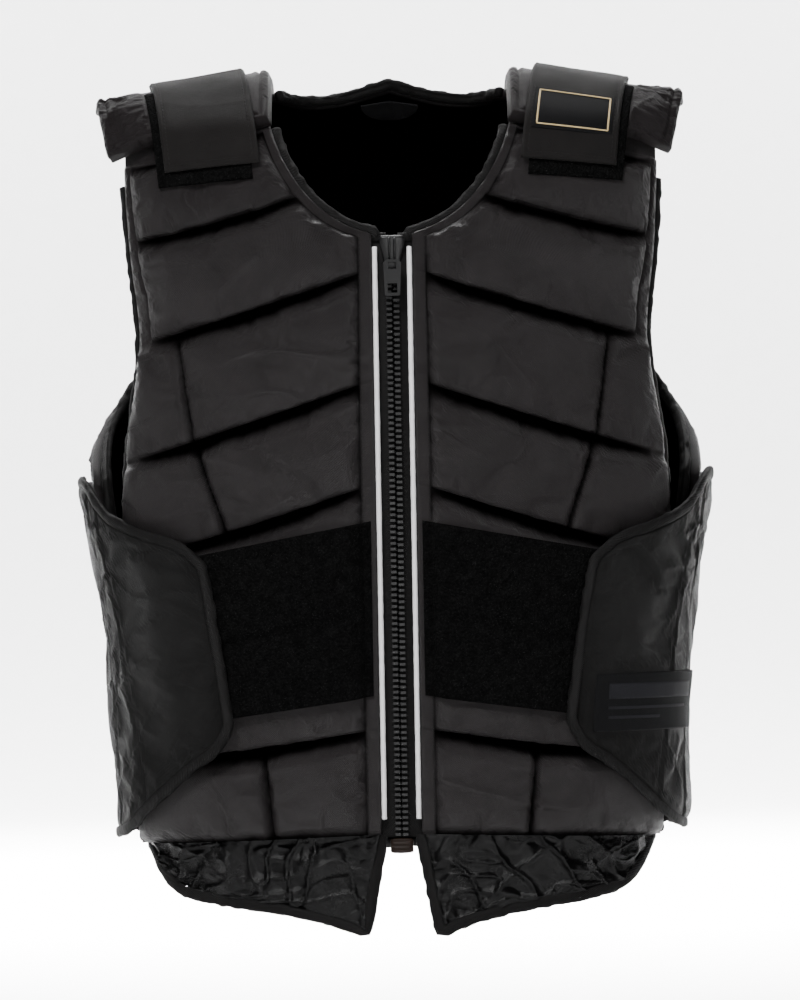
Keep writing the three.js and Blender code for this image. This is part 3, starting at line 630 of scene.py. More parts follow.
def coated_cloth(name, colour, roughness, crinkle, gloss, weave=TIGHT_WEAVE):
    """Densely woven coated cloth: a fine weave, soft crinkles and slightly uneven gloss, with painted shade
    mixed in where the mesh's shade attribute asks for it.
    """
    finish = Finish(name)
    u, v = finish.cloth()
    turns = 2 * math.pi / THREAD_PITCH
    threads = (u * turns).sine() * (v * turns).sine()
    slow = finish.speckle(55.0, 3.0, 0.55)
    quick = finish.speckle(1100.0, 2.0, 0.6)
    # Painted shade: the share that the mesh carries in its seams and on its lining.
    painted_shade = finish.value(finish.node("ShaderNodeAttribute", {"attribute_name": "PaintedShade"}), "Fac")
    middle = finish.speckle(260.0, 3.0, 0.6)
    relief = finish.relief(slow, crinkle)
    relief = finish.relief(middle, crinkle * 0.45, normal=relief)
    relief = finish.relief(quick, weave * 1.8, normal=relief)
    relief = finish.relief(threads, weave, normal=relief)
    finish.surface(
        Base_Color=finish.tint(slow * 0.7 + quick * 0.3, shaded(colour, 0.5), shaded(colour, 1.6)),
        Roughness=(slow - 0.5) * 0.22 + (quick - 0.5) * 0.2 + roughness,
        Normal=relief,
        Specular_IOR_Level=gloss,
    )
    # Painted shade: a near-black cloth without sheen, mixed in by that share.
    return finish.mix_painted_shade(painted_shade, shaded(colour, 0.05))


def tape_cloth(name, colour, roughness=0.62, pitch=0.0016):
    """Ribbed woven tape."""
    finish = Finish(name)
    u, v = finish.cloth()
    ribs = ((u + v) * (2 * math.pi / pitch)).sine()
    fuzz = finish.speckle(1400.0, 2.0, 0.6)
    relief = finish.relief(fuzz, 0.0002)
    relief = finish.relief(ribs, 0.00016, normal=relief)
    return finish.surface(
        Base_Color=finish.tint(fuzz, shaded(colour, 0.7), shaded(colour, 1.35)),
        Roughness=(fuzz - 0.5) * 0.2 + roughness,
        Normal=relief,
        Specular_IOR_Level=0.12,
    )


def loop_cloth(name, colour):
    """Loop tape: a dense mat of tiny curls, matte and speckled."""
    finish = Finish(name)
    cells = finish.node("ShaderNodeTexVoronoi", Vector=finish.place(), Scale=620.0, Randomness=1.0)
    curls = finish.value(cells, 0)
    matted = finish.speckle(170.0, 4.0, 0.7)
    share = (matted * 1.5 - 0.35) * (1.15 - curls)
    relief = finish.relief(matted, 0.0012)
    relief = finish.relief(curls, 0.0011, normal=relief)
    share = share.at_least(0.0).at_most(1.0)
    return finish.surface(
        Base_Color=finish.tint(share, shaded(colour, 0.4), shaded(colour, 9.0)),
        Roughness=matted * 0.1 + 0.88,
        Normal=relief,
        Specular_IOR_Level=0.04,
    )


def reflective_cloth(name, colour):
    """Pale cord covered in fine glass beads."""
    finish = Finish(name)
    beads = finish.speckle(2600.0, 1.0, 0.5)
    dirt = finish.speckle(60.0, 3.0, 0.6)
    return finish.surface(
        Base_Color=finish.tint((beads * 0.6 + dirt * 0.5).at_most(1.0), shaded(colour, 0.78), colour),
        Roughness=beads * 0.3 + 0.3,
        Normal=finish.relief(beads, 0.00012),
        Specular_IOR_Level=0.6,
    )


def moulded(name, colour, roughness, gloss):
    """Moulded plastic with a faint grain."""
    finish = Finish(name)
    grain = finish.speckle(1500.0, 3.0, 0.6)
    wear = finish.speckle(160.0, 3.0, 0.6)
    return finish.surface(
        Base_Color=finish.tint(wear, shaded(colour, 0.8), shaded(colour, 1.5)),
        Roughness=(wear - 0.5) * 0.2 + roughness,
        Normal=finish.relief(grain, 0.00006),
        Specular_IOR_Level=gloss,
    )


class VestColours(bpy.types.PropertyGroup):
    """Colours of the cloths and plastics."""

    pad: bpy.props.FloatVectorProperty(
        name="Pad cloth",
        description="Coated cloth of the pads",
        subtype="COLOR",
        default=(0.0102, 0.0084, 0.0088),
    )
    flap: bpy.props.FloatVectorProperty(
        name="Flap cloth",
        description="Nylon of the side flaps",
        subtype="COLOR",
        default=(0.0084, 0.0082, 0.0081),
    )
    skirt: bpy.props.FloatVectorProperty(
        name="Skirt cloth",
        description="Thin nylon of the hem skirt",
        subtype="COLOR",
        default=(0.0016, 0.0015, 0.0016),
    )
    strap: bpy.props.FloatVectorProperty(
        name="Strap cloth",
        description="Cloth of the shoulder straps",
        subtype="COLOR",
        default=(0.0080, 0.0072, 0.0070),
    )
    tape: bpy.props.FloatVectorProperty(
        name="Binding tape",
        description="Folded tape along the edges",
        subtype="COLOR",
        default=(0.0045, 0.0042, 0.0042),
    )
    loop: bpy.props.FloatVectorProperty(
        name="Loop tape",
        description="Loop patches",
        subtype="COLOR",
        default=(0.0008, 0.0008, 0.0008),
    )
    piping: bpy.props.FloatVectorProperty(
        name="Piping",
        description="Reflective piping beside the zip",
        subtype="COLOR",
        default=(0.80, 0.79, 0.80),
    )
    plastic: bpy.props.FloatVectorProperty(
        name="Zip plastic",
        description="Teeth, slider and pull",
        subtype="COLOR",
        default=(0.0024, 0.0024, 0.0026),
    )
    retainer: bpy.props.FloatVectorProperty(
        name="Retainer",
        description="Box at the zip's foot",
        subtype="COLOR",
        default=(0.0075, 0.0035, 0.0018),
    )
    label: bpy.props.FloatVectorProperty(
        name="Labels",
        description="Woven labels",
        subtype="COLOR",
        default=(0.0035, 0.0035, 0.004),
    )
    gold: bpy.props.FloatVectorProperty(
        name="Gold thread",
        description="Border of the strap patch",
        subtype="COLOR",
        default=(0.60, 0.46, 0.24),
    )


class VestSizes(bpy.types.PropertyGroup):
    """Sizes of the sewn details."""

    grain: bpy.props.FloatProperty(
        name="Mesh step", description="Spacing of the quilted cloth's mesh", unit="LENGTH", default=0.0017
    )
    fullness: bpy.props.FloatProperty(
        name="Crown", description="How far a pad's middle stands above its rim", unit="LENGTH", default=0.002
    )
    stitch: bpy.props.FloatProperty(
        name="Stitch length", description="Length of one stitch", unit="LENGTH", default=0.0026
    )
    thread: bpy.props.FloatProperty(
        name="Thread",
        description="Thickness of the sewing thread",
        unit="LENGTH",
        default=0.0007,
    )
    tooth_pitch: bpy.props.FloatProperty(
        name="Tooth pitch",
        description="Spacing of the zip's teeth on one side",
        unit="LENGTH",
        default=0.0037,
    )


MATERIALS = {}


def finish_for(name):
    """The finish of that name, made once from the colours."""
    if name not in MATERIALS:
        colours = bpy.context.scene.vest_colours
        makers = {
            "pad_cloth": lambda: coated_cloth(name, colours.pad, 0.38, 0.0008, 0.25),
            "bridge_cloth": lambda: coated_cloth(name, colours.pad, 0.5, 0.0008, 0.11),
            "flap_cloth": lambda: coated_cloth(name, colours.flap, 0.48, 0.0006, 0.08),
            "skirt_cloth": lambda: coated_cloth(name, colours.skirt, 0.24, 0.0003, 0.17, weave=0.00006),
            "strap_cloth": lambda: coated_cloth(name, colours.strap, 0.60, 0.0005, 0.1, weave=0.0002),
            "binding": lambda: tape_cloth(name, colours.tape),
            "loop_cloth": lambda: loop_cloth(name, colours.loop),
            "reflective_piping": lambda: reflective_cloth(name, colours.piping),
            "zip_plastic": lambda: moulded(name, colours.plastic, 0.4, 0.3),
            "retainer_plastic": lambda: moulded(name, colours.retainer, 0.5, 0.15),
            "label_cloth": lambda: tape_cloth(name, colours.label, 0.7, 0.0012),
            "thread": lambda: tape_cloth(name, shaded(colours.tape, 1.9), 0.5, 0.0006),
            "label_thread": lambda: tape_cloth(name, (0.012, 0.012, 0.0145), 0.6, 0.0012),
            "gold_thread": lambda: tape_cloth(name, colours.gold, 0.45, 0.0009),
        }
        MATERIALS[name] = makers[name]()
    return MATERIALS[name]


def finished(piece, slot, *nodes, look=None):
    """Gives a piece its finish and its body, and hides the parts of the frame that it stands for."""
    piece.data.materials.clear()
    piece.data.materials.append(finish_for(look or slot))
    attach(piece, BODY)
    if nodes:
        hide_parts(*nodes)
    return piece


def bulge(distance, radius):
    """Height share of a rounded rim at a distance from its seam."""
    inside = np.clip(distance / radius, 0.0, 1.0)
    return np.sqrt(np.maximum(1 - (1 - inside) ** 2, 0.0))


SWELL_FRAMES = 12
SWELL_CAP = 4.5


def swell(piece, held, slack, pressure, inner=1.0):
    """Blows a closed cloth up between its seams. held says how firmly each outer point is sewn
    down and inner how firmly the inner ones are, slack is the cloth's extra length as a share,
    and no point moves further than the cap."""
    held = np.concatenate([held.ravel(), np.full(held.size, inner)])
    rest = np.empty(len(piece.data.vertices) * 3, dtype=np.float32)
    piece.data.vertices.foreach_get("co", rest)
    rest = rest.reshape(-1, 3)
    pins = piece.vertex_groups.new(name="Sewn")
    for weight in (0.02, 0.1, 0.3, 1.0):
        index = np.nonzero(held >= weight)[0]
        pins.add(index.tolist(), weight, "REPLACE")
    cloth = piece.modifiers.new("Swell", "CLOTH")
    settings = cloth.settings
    settings.quality = 4
    settings.mass = 0.12
    settings.air_damping = 3.0
    settings.tension_stiffness = 18.0
    settings.compression_stiffness = 12.0
    settings.shear_stiffness = 6.0
    settings.bending_stiffness = 0.35
    settings.shrink_min = -slack
    settings.vertex_group_mass = "Sewn"
    settings.pin_stiffness = 8.0
    settings.use_pressure = True
    settings.uniform_pressure_force = pressure
    settings.effector_weights.gravity = 0.0
    cloth.collision_settings.use_collision = False
    cloth.collision_settings.use_self_collision = False
    cloth.point_cache.frame_start = 1
    cloth.point_cache.frame_end = SWELL_FRAMES
    scene = bpy.context.scene
    for number in range(1, SWELL_FRAMES + 1):
        scene.frame_set(number)
    graph = bpy.context.evaluated_depsgraph_get()
    shape = piece.evaluated_get(graph).to_mesh()
    moved = np.empty_like(rest).ravel()
    shape.vertices.foreach_get("co", moved)
    piece.evaluated_get(graph).to_mesh_clear()
    shift = (moved.reshape(-1, 3) - rest) / MM
    length = np.maximum(np.linalg.norm(shift, axis=1, keepdims=True), 1e-6)
    shift = shift * (SWELL_CAP * np.tanh(length / SWELL_CAP) / length)
    piece.modifiers.remove(cloth)
    piece.vertex_groups.remove(pins)
    piece.data.vertices.foreach_set("co", (rest + shift * MM).astype(np.float32).ravel())
    piece.data.update()
    scene.frame_set(1)


def seam_rows(seams, step, heights):
    """Row places whose spacing is about step millimetres, with one on each seam."""
    parts = []
    for i in range(len(seams) - 1):
        parts.append(np.linspace(i, i + 1, max(int(heights[i] / step), 2), endpoint=False))
    return np.concatenate([*parts, [len(seams) - 1]])


def row_index(seams, at):
    """The row between two seams that a row place is in."""
    return np.clip(np.floor(at).astype(int), 0, len(seams) - 2)


def share_down(seams, at):
    """How far down its row a row place is, from 0 to 1."""
    return at - np.floor(np.minimum(at, len(seams) - 1.0001))


def between(seams, at, name):
    i = row_index(seams, at)
    values = column(seams, name)
    return mix(values[i], values[i + 1], at - i)


def front_heights(at, x, edge):
    """Height of the panel's edge line at row places, the tab's top standing on the ridge."""
    i = row_index(FRONT_SEAMS, at)
    heights = -TRUNK_LENGTH * column(FRONT_SEAMS, edge)
    tab = mix(CROWN_FOOT, ridge_at(x), math.sin(math.radians(TAB_ANGLE)))
    upper = np.where(i == 0, tab, heights[i])
    return mix(upper, heights[i + 1], at - i)


def centre_edge_at(z):
    climb = np.clip((ridge_at(NECK_HALF_WIDTH) - z) / NECK_DEPTH, 0.0, 1.0)
    return np.maximum(NECK_HALF_WIDTH * np.sqrt(1 - climb**2), ZIP_EDGE)


def front_point(at, share):
    """x and z in the front view at row places and shares across a front panel."""
    side = CHEST_HALF_WIDTH * read(numbered(FRONT_SEAMS, "side"), "at", at, "side")
    inner = front_heights(at, NECK_HALF_WIDTH, "inner")
    outer = front_heights(at, side, "outer")
    return mix(centre_edge_at(inner), side, share), mix(inner, outer, share)


SWELL_START = -3.0
HIGHEST_LIFT = 2.2
PAD_OVERHANG = 4.5
FRONT_ROW_HEIGHT = 66.0
FRONT_SEWN_HEIGHT = 64.0
FRONT_MESH_WIDTH = 185.0
FRONT_MESH_HEIGHTS = [20, 48, 62, 76, 70, 72, 72, 62]


def slot_share(share):
    """How wide a slot between two rows of pads is open: widest halfway along."""
    return np.sin(np.clip((share - 0.02) / 0.9, 0, 1) * np.pi) ** 0.5


def overhang(at, share):
    """How far a pad's lower rim hangs down over the slot below it."""
    below = (1 - share_down(FRONT_SEAMS, at)) * FRONT_ROW_HEIGHT
    hang = hump(below - 4.5, 3.6) - math.exp(-((4.5 / 3.6) ** 2)) * hump(below, 1.0)
    inside = (at > 1.0) & (at < 7.0) & (share > BAND_SHARE) & (share < STRIP_SHARE)
    return np.where(inside, PAD_OVERHANG * slot_share(share) * np.maximum(hang, 0), 0.0)


PATCH_ROW = 5
WAIST_PATCH_START = 17.0
WAIST_PATCH_END = 150.0
WAIST_PATCH_TOP = (0.562, 0.612)
WAIST_PATCH_FOOT = (0.798, 0.836)
WAIST_PATCH_WIDTH = 133.0
WAIST_PATCH_HEIGHT = 113.0


def front_share(x, z):
    """Row place and share across a front panel of points in the front view."""
    share = np.full_like(x, 0.5)
    inner = -TRUNK_LENGTH * column(FRONT_SEAMS, "inner")
    outer = -TRUNK_LENGTH * column(FRONT_SEAMS, "outer")
    seams = numbered(FRONT_SEAMS, "side")
    at = np.full_like(x, 4.0)
    for _ in range(4):
        for i in range(1, len(FRONT_SEAMS) - 1):
            upper = mix(inner[i], outer[i], share)
            lower = mix(inner[i + 1], outer[i + 1], share)
            down = (z - upper) / (lower - upper)
            at = np.where((down >= 0) & (down <= 1), i + down, at)
        side = CHEST_HALF_WIDTH * read(seams, "at", at, "side")
        share = np.clip((x - ZIP_EDGE) / (side - ZIP_EDGE), 0, 1)
    return at, share


def patch_middle(x, z, side):
    """Lift of the waist patch's underside, and how far inside the patch a point is, in mm."""
    across = (x - WAIST_PATCH_START) / (WAIST_PATCH_END - WAIST_PATCH_START)
    top = -TRUNK_LENGTH * mix(*WAIST_PATCH_TOP, across)
    foot = -TRUNK_LENGTH * mix(*WAIST_PATCH_FOOT, across)
    at, share = front_share(x, z)
    width = CHEST_HALF_WIDTH * 0.9 - ZIP_EDGE
    first = FRONT_SEAMS[PATCH_ROW]
    upper = -TRUNK_LENGTH * mix(first["inner"], first["outer"], share)
    middle = mix(-8.2, 0.6, bulge((share - BAND_SHARE) * width, 13.0))
    middle = middle - 6.0 * (1 - bulge(upper - z, 16.0))
    crease = hump((at - 6.0) * 70, 4.5)
    slack = ease(share * 6) * ease((1 - share) * 4)
    wave = ripples(x, z, 42.0, 24.0, 501 if side > 0 else 523)
    middle = middle - 2.6 * crease * slack + 0.8 * wave * slack
    sideways = np.minimum(x - WAIST_PATCH_START, WAIST_PATCH_END - x)
    return middle, np.minimum(sideways, np.minimum(top - z, z - foot))


def front_lift(at, share, side, crown):
    """Lift of a front panel's outer cloth: pads between seams, with their folds and puckers."""
    row = row_index(FRONT_SEAMS, at)
    down = at - row
    x, z = front_point(at, share)
    x_above, z_above = front_point(row.astype(float), share)
    x_below, z_below = front_point(np.minimum(row + 0.9999, len(FRONT_SEAMS) - 1.0), share)
    height = np.hypot(x_above - x_below, z_above - z_below)
    width = front_point(at, np.ones_like(share))[0] - front_point(at, np.zeros_like(share))[0]
    above = down * height
    below = (1 - down) * height
    seed = 11 if side > 0 else 57
    wave = ripples(x, z, 34.0, 60.0, seed)
    seam_shift = 1.2 * ripples(x, z * 0.2, 22.0, 40.0, seed + 5)
    slot = slot_share(share)
    rim_above = ease((above + seam_shift * 0.3) / mix(8.0, 18.0, slot))
    rim_below = bulge(below - seam_shift * 0.3, 8.0)
    band = bulge((share - BAND_SHARE) * width, 10.0)
    strip = bulge((STRIP_SHARE - share) * width, 9.0)
    has_strip = (at < 3.0) & (at >= 1.0)
    side_rim = np.where(has_strip, strip, bulge((1.0 - share) * width - 1.0, 10.0))
    upright = between(FRONT_SEAMS, at, "upright")
    split = column(FRONT_SEAMS, "split")[row] > 0
    seam_gap = np.abs(share - upright) * width
    seam_rim = np.where(split, bulge(seam_gap, 6.5), 1.0)
    puff = rim_above * rim_below * band * side_rim * seam_rim
    floor = mix(-7.5, SEAM_LIFT - 2.0, slot)
    middle = 4 * down * (1 - down)
    lift = mix(floor, SWELL_START, puff) + crown * (middle - 0.5) * puff
    inner_zone = share < BAND_SHARE
    lift = np.where(inner_zone, BAND_LIFT + 0.5 * bulge(share * width, 2.5), lift)
    outer_zone = (share > STRIP_SHARE) & has_strip
    strip_puff = bulge((share - STRIP_SHARE) * width, 4.0) * bulge((1 - share) * width + 2, 6.0)
    lift = np.where(outer_zone, mix(-11.0, -7.5, strip_puff), lift)
    tab = at < 1.0
    lift = np.where(tab, EDGE_LIFT, lift)
    near_seam = np.exp(-np.minimum(above, below) / 16.0)
    pull_lines = ripples(x + 0.25 * z, z, 9.0, 55.0, seed + 9)
    gathers = ripples(z + 0.15 * x, x, 4.6, 26.0, seed + 13)
    near_upright = np.exp(-seam_gap / 7.0) * split + np.exp(-np.abs(share - BAND_SHARE) * width / 8.0)
    near_upright = near_upright + np.exp(-np.abs(share - STRIP_SHARE) * width / 9.0) * has_strip
    fold = creases(x, z, 30.0, -0.30, seed + 21)
    puckers = 0.8 * pull_lines * near_seam + 1.3 * gathers * near_upright
    detail = 1.2 * wave + puckers + 1.1 * (fold - 0.25) * puff
    lift = lift + detail * np.where(tab, 0.0, 1.0) * (0.35 + 0.65 * puff)
    lift = np.where(tab, EDGE_LIFT, np.minimum(lift, HIGHEST_LIFT))
    patch, inside = patch_middle(x, z, side)
    pressed = ease((inside + 5.0) / 5.0)
    return np.where(inside > -5.0, mix(lift, np.minimum(lift, patch - 0.5), pressed), lift)


def taper(lift, share_gap, low):
    """Lift that falls to low within a few millimetres of an edge."""
    return mix(low, lift, bulge(share_gap, 5.0))


def front_held(at, share, width):
    """How firmly each point of a front panel's outer cloth is sewn down."""
    row = row_index(FRONT_SEAMS, at)
    down = at - row
    x, z = front_point(at, share)
    gap = np.minimum(down, 1 - down) * FRONT_SEWN_HEIGHT
    upright = between(FRONT_SEAMS, at, "upright")
    split = column(FRONT_SEAMS, "split")[row] > 0
    gap = np.where(split, np.minimum(gap, np.abs(share - upright) * width), gap)
    gap = np.minimum(gap, np.abs(share - BAND_SHARE) * width)
    has_strip = (at < 3.0) & (at >= 1.0)
    gap = np.where(has_strip, np.minimum(gap, np.abs(share - STRIP_SHARE) * width), gap)
    gap = np.minimum(gap, np.minimum(share, 1 - share) * width)
    held = np.where(gap < 1.6, 1.0, 0.0)
    _, inside = patch_middle(x, z, 1)
    held = np.where(inside > -3.0, 1.0, held)
    return np.where((at < 1.0) | (share < BAND_SHARE), 1.0, held)


class VEST_OT_front_panels(bpy.types.Operator):
    """Makes the two quilted front panels"""

    bl_idname = "vest.front_panels"
    bl_label = "Front panels"

    def execute(self, context):
        sizes = context.scene.vest_sizes
        step = sizes.grain / MM
        at = seam_rows(FRONT_SEAMS, step, FRONT_MESH_HEIGHTS)[:, None]
        share = np.linspace(0, 1, int(FRONT_MESH_WIDTH / step))[None, :]
        at, share = np.broadcast_arrays(at, share)
        x, z = front_point(at, share)
        turn, level = front_place(x, z)
        width = x[:, -1:] - x[:, :1]
        for side in (1, -1):
            outer_lift = front_lift(at, share, side, sizes.fullness / MM)
            edge_gap = (1 - share) * width
            foot_gap = (len(FRONT_SEAMS) - 1 - at) * 60.0
            outer_lift = taper(taper(outer_lift, edge_gap, EDGE_LIFT), foot_gap, EDGE_LIFT)
            inner_lift = mix(-17.0, INNER_LIFT, bulge(np.minimum(edge_gap, share * width), 8.0))
            inner_lift = inner_lift + 0.5 * ripples(x, z, 30.0, 30.0, 91)
            outer = placed(side, turn, level - overhang(at, share), outer_lift)
            inner = placed(side, turn, level, inner_lift)
            name = side_name("front_panel", side)
            # Painted shade in the seams of the quilted part, by how deep its outer cloth lies.
            quilted = (at > 1.0) & (share > BAND_SHARE) & (share < STRIP_SHARE)
            piece = shell(f"quilted_{name}", outer, inner, np.where(quilted, seam_shade_share(outer_lift), 0.0))
            swell(piece, front_held(at, share, width), 0.018, 2.5)
            finished(piece, "pad_cloth", name)
        return {"FINISHED"}


def back_place(at, share):
    """Turn from the back's centre and level at row places and shares across the back."""
    edge = np.where(at < 0, BACK_SEAMS[0]["turn"], read(numbered(BACK_SEAMS, "turn"), "at", at, "turn"))
    degrees = np.where(share < 1, SPINE_ANGLE * share, mix(SPINE_ANGLE, edge, share - 1))
    turn = np.radians(degrees)
    sine, _ = squircle(turn, RING_POWER)
    row = row_index(BACK_SEAMS, at)
    centre = column(BACK_SEAMS, "centre")
    side = column(BACK_SEAMS, "side")

    def level_of(index):
        z = -TRUNK_LENGTH * mix(centre[index], side[index], share / 2)
        return crown_level(half_width_at(z) * sine, z, BACK_CROWN_POWER)

    top = read(BACK_TOP, "across", sine, "rise") / 90 * RISE_LENGTH
    upper = np.where(at < 0, top, level_of(row))
    lower = np.where(at < 0, level_of(np.zeros_like(row)), level_of(row + 1))
    return turn, mix(upper, lower, np.where(at < 0, at + 1, at - row))


BACK_ROW_HEIGHT = 76.0
BACK_MESH_HEIGHTS = [70] * 6
BACK_MESH_COARSENESS = 1.75
BACK_ARC_SHARE = 0.86 * 1.35


def back_lift(at, share, side, crown):
    """Lift of the back panel's outer cloth: pads between seams, with their folds and puckers."""
    turn, level = back_place(at, share)
    down = share_down(BACK_SEAMS, at)
    height = BACK_ROW_HEIGHT
    arc = CHEST_HALF_WIDTH * BACK_ARC_SHARE
    degrees = np.degrees(turn)
    u = degrees / 90 * arc
    edge = read(numbered(BACK_SEAMS, "turn"), "at", at, "turn")
    edge_gap = (edge - degrees) / 90 * arc
    rims = ease(down * height / 17.0) * bulge((1 - down) * height, 8.0)
    spine = np.abs(share - SPINE_SEAM) * SPINE_ANGLE / 90 * arc
    flank = np.abs(share - FLANK_SEAM) * np.maximum(edge - SPINE_ANGLE, 8) / 90 * arc
    parted = at >= 1
    seams = np.where(parted, bulge(spine, 9.0) * bulge(flank, 9.0), 1.0)
    puff = rims * seams * bulge(edge_gap - 4, 10.0)
    seed = 131 if side > 0 else 177
    wave = ripples(u, level, 36.0, 60.0, seed)
    near = np.exp(-np.minimum(down, 1 - down) * height / 16.0)
    pull_lines = ripples(u, level, 9.0, 55.0, seed + 9)
    near_upright = (np.exp(-spine / 9.0) + np.exp(-flank / 9.0)) * parted
    gathers = ripples(level, u, 4.6, 26.0, seed + 13)
    fold = creases(u, level, 32.0, 0.25, seed + 21)
    fade = np.clip(u / 12.0, 0, 1)
    puckers = 1.0 * pull_lines * near + 0.9 * gathers * near_upright
    detail = 1.4 * wave + puckers + 1.5 * (fold - 0.25) * puff
    floor = mix(-4.0, SEAM_LIFT - 2.0, ease(edge_gap / 30.0))
    lift = mix(floor, SWELL_START, puff) + crown * (4 * down * (1 - down) - 0.5) * puff
    lift = lift + detail * fade * (0.35 + 0.65 * puff)
    lift = np.where(at < 0, EDGE_LIFT, lift)
    lift = np.minimum(lift, HIGHEST_LIFT)
    foot_gap = (len(BACK_SEAMS) - 1 - at) * height
    return taper(taper(lift, edge_gap, EDGE_LIFT), foot_gap, EDGE_LIFT)


def back_held(at, share):
    """How firmly each point of the back panel's outer cloth is sewn down."""
    down = share_down(BACK_SEAMS, at)
    gap = np.minimum(down, 1 - down) * BACK_ROW_HEIGHT
    upright = np.minimum(np.abs(share - SPINE_SEAM), np.abs(share - FLANK_SEAM)) * 90.0
    gap = np.where(at >= 1, np.minimum(gap, upright), gap)
    gap = np.minimum(gap, (2 - share) * 60.0)
    return np.where((gap < 1.9) | (at < 0), 1.0, 0.0)


class VEST_OT_back_panel(bpy.types.Operator):
    """Makes the quilted back panel"""

    bl_idname = "vest.back_panel"
    bl_label = "Back panel"

    def execute(self, context):
        sizes = context.scene.vest_sizes
        step = sizes.grain / MM * BACK_MESH_COARSENESS
        rows = seam_rows(BACK_SEAMS, step, BACK_MESH_HEIGHTS)
        at = np.concatenate([np.linspace(-1, 0, 24, endpoint=False), rows])
        shares = np.concatenate([np.linspace(0, 1, 36, endpoint=False), np.linspace(1, 2, 42)])
        at_grid, share = np.broadcast_arrays(at[:, None], shares[None, :])
        turn, level = back_place(at_grid, share)
        grids = []
        for side in (-1, 1):
            outer_lift = back_lift(at_grid, share, side, sizes.fullness / MM)
            inner_lift = INNER_LIFT + 3.0 * (1 - bulge((2 - share) * 60, 8.0))
            outer = placed(side, np.pi - turn, level, outer_lift)
            inner = placed(side, np.pi - turn, level, inner_lift)
            # Painted shade in the back panel's seams, by how deep its outer cloth lies.
            shade = np.where(at_grid >= 0, seam_shade_share(outer_lift), 0.0)
            grids.append((outer, inner, shade, back_held(at_grid, share)))
        outer, inner, painted_shade, held = [
            np.concatenate([right[:, :0:-1], left], axis=1) for right, left in zip(*grids)
        ]
        piece = shell("quilted_back_panel", outer, inner, painted_shade)
        swell(piece, held, 0.014, 2.5)
        finished(piece, "pad_cloth", "back_panel")
        return {"FINISHED"}


BRIDGE_NECK_LIP = 5.0
BRIDGE_CREST = 8.0
BRIDGE_BACK_ANGLE = 132.0
BRIDGE_INNER_LIFT = -9.7
BRIDGE_THICKNESS = 10.0
BRIDGE_WIDTH = 110.0
BRIDGE_LENGTH = 200.0
BRIDGE_STITCH_GAP = 7.0


def bridge_place(share, along):
    outer_edge = CHEST_HALF_WIDTH * FRONT_SEAMS[1]["side"] + BINDING_WIDTH
    x = mix(NECK_HALF_WIDTH - BRIDGE_NECK_LIP, outer_edge, share)
    x = x + np.sin(along * np.pi) * BRIDGE_CREST * share
    z = -TRUNK_LENGTH * read(BRIDGE_FRONT, "share", share, "drop")
    _, front = front_place(x, z)
    turn, _ = front_place(x, np.full_like(x, CROWN_FOOT))
    return turn, mix(front, BRIDGE_BACK_ANGLE / 90 * RISE_LENGTH, along)


class VEST_OT_shoulder_bridges(bpy.types.Operator):
    """Makes the padded bridges over the shoulders"""

    bl_idname = "vest.shoulder_bridges"
    bl_label = "Shoulder bridges"

    def execute(self, context):
        along, share = grid(120, 80)
        turn, level = bridge_place(share, along)
        u = share * BRIDGE_WIDTH
        v = along * BRIDGE_LENGTH
        gap = rim_gap(u, v, BRIDGE_WIDTH, BRIDGE_LENGTH)
        rim = bulge(gap, 4.0)
        stitch_line = hump(gap - BRIDGE_STITCH_GAP, 1.4)
        for side in (1, -1):
            seed = 301 if side > 0 else 341
            folds = creases(u, v, 17.0, 1.35, seed)
            outer_end = ease((u - 70) / 40)
            wave = ripples(u, v, 24.0, 22.0, seed + 3)
            gathers = ripples(v, u, 6.0, 20.0, seed + 5)
            top = BRIDGE_INNER_LIFT + mix(3.5, BRIDGE_THICKNESS + 0.3, rim) - 1.5 * stitch_line
            detail = 0.8 * wave + 1.6 * (folds - 0.3) * (0.35 + outer_end) + 0.8 * gathers * outer_end
            outer_lift = top + detail * rim
            angle = level / RISE_LENGTH * 90
            crown_x = half_width_at(np.full_like(turn, CROWN_FOOT)) * squircle(turn, RING_POWER)[0]
            aside = crown_x - strap_centre(angle)
            under = ease((STRAP_WIDTH / 2 + 9.0 - np.abs(aside)) / 5.0)
            outer_lift = mix(outer_lift, np.minimum(outer_lift, 0.5), under)
            inner_lift = BRIDGE_INNER_LIFT + 2.0 * (1 - rim)
            name = side_name("shoulder_bridge", side)
            piece = sewn_cloth(f"soft_{name}", side, turn, level, outer_lift, inner_lift)
            sewn = (gap < 1.5) | (np.abs(gap - BRIDGE_STITCH_GAP) < 1.0) | (under > 0.2)
            swell(piece, np.where(sewn, 1.0, 0.0), 0.035, 2.0)
            finished(piece, "pad_cloth", name, look="bridge_cloth")
        return {"FINISHED"}


STRAP_WIDTH = 62.0
STRAP_THICKNESS = 2.2
STRAP_FOOT_ANGLE = 31.0
STRAP_END_ANGLE = 128.0
STRAP_INSET = 8.0
STRAP_SLANT = 13.0
STRAP_LIFT = 3.1
LOOP_LIFT = 1.1
LOOP_THICKNESS = 1.2
LOOP_LIP = 6.0
PATCH_HALF_WIDTH = 26.0
PATCH_HEIGHT = 38.0
BORDER_INSET = 3.0


def strap_centre(angle):
    lean = np.maximum(1 - angle / 90, 0) / (1 - STRAP_FOOT_ANGLE / 90)
    return SHOULDER_CENTRE - STRAP_INSET - STRAP_SLANT * lean


def strap_place(aside, angle):
    return shoulder_place(strap_centre(angle) + aside, angle)


def strap_grid(from_angle, to_angle, from_aside, to_aside, step):
    arc = (to_angle - from_angle) / 90 * RISE_LENGTH
    rows = np.linspace(0, 1, int(arc / step))[:, None]
    columns = np.linspace(0, 1, int((to_aside - from_aside) / step))[None, :]
    down, across = np.broadcast_arrays(rows, columns)
    angle = mix(from_angle, to_angle, down)
    aside = mix(from_aside, to_aside, across)
    turn, level = strap_place(aside, angle)
    return turn, level, aside, down * arc, arc


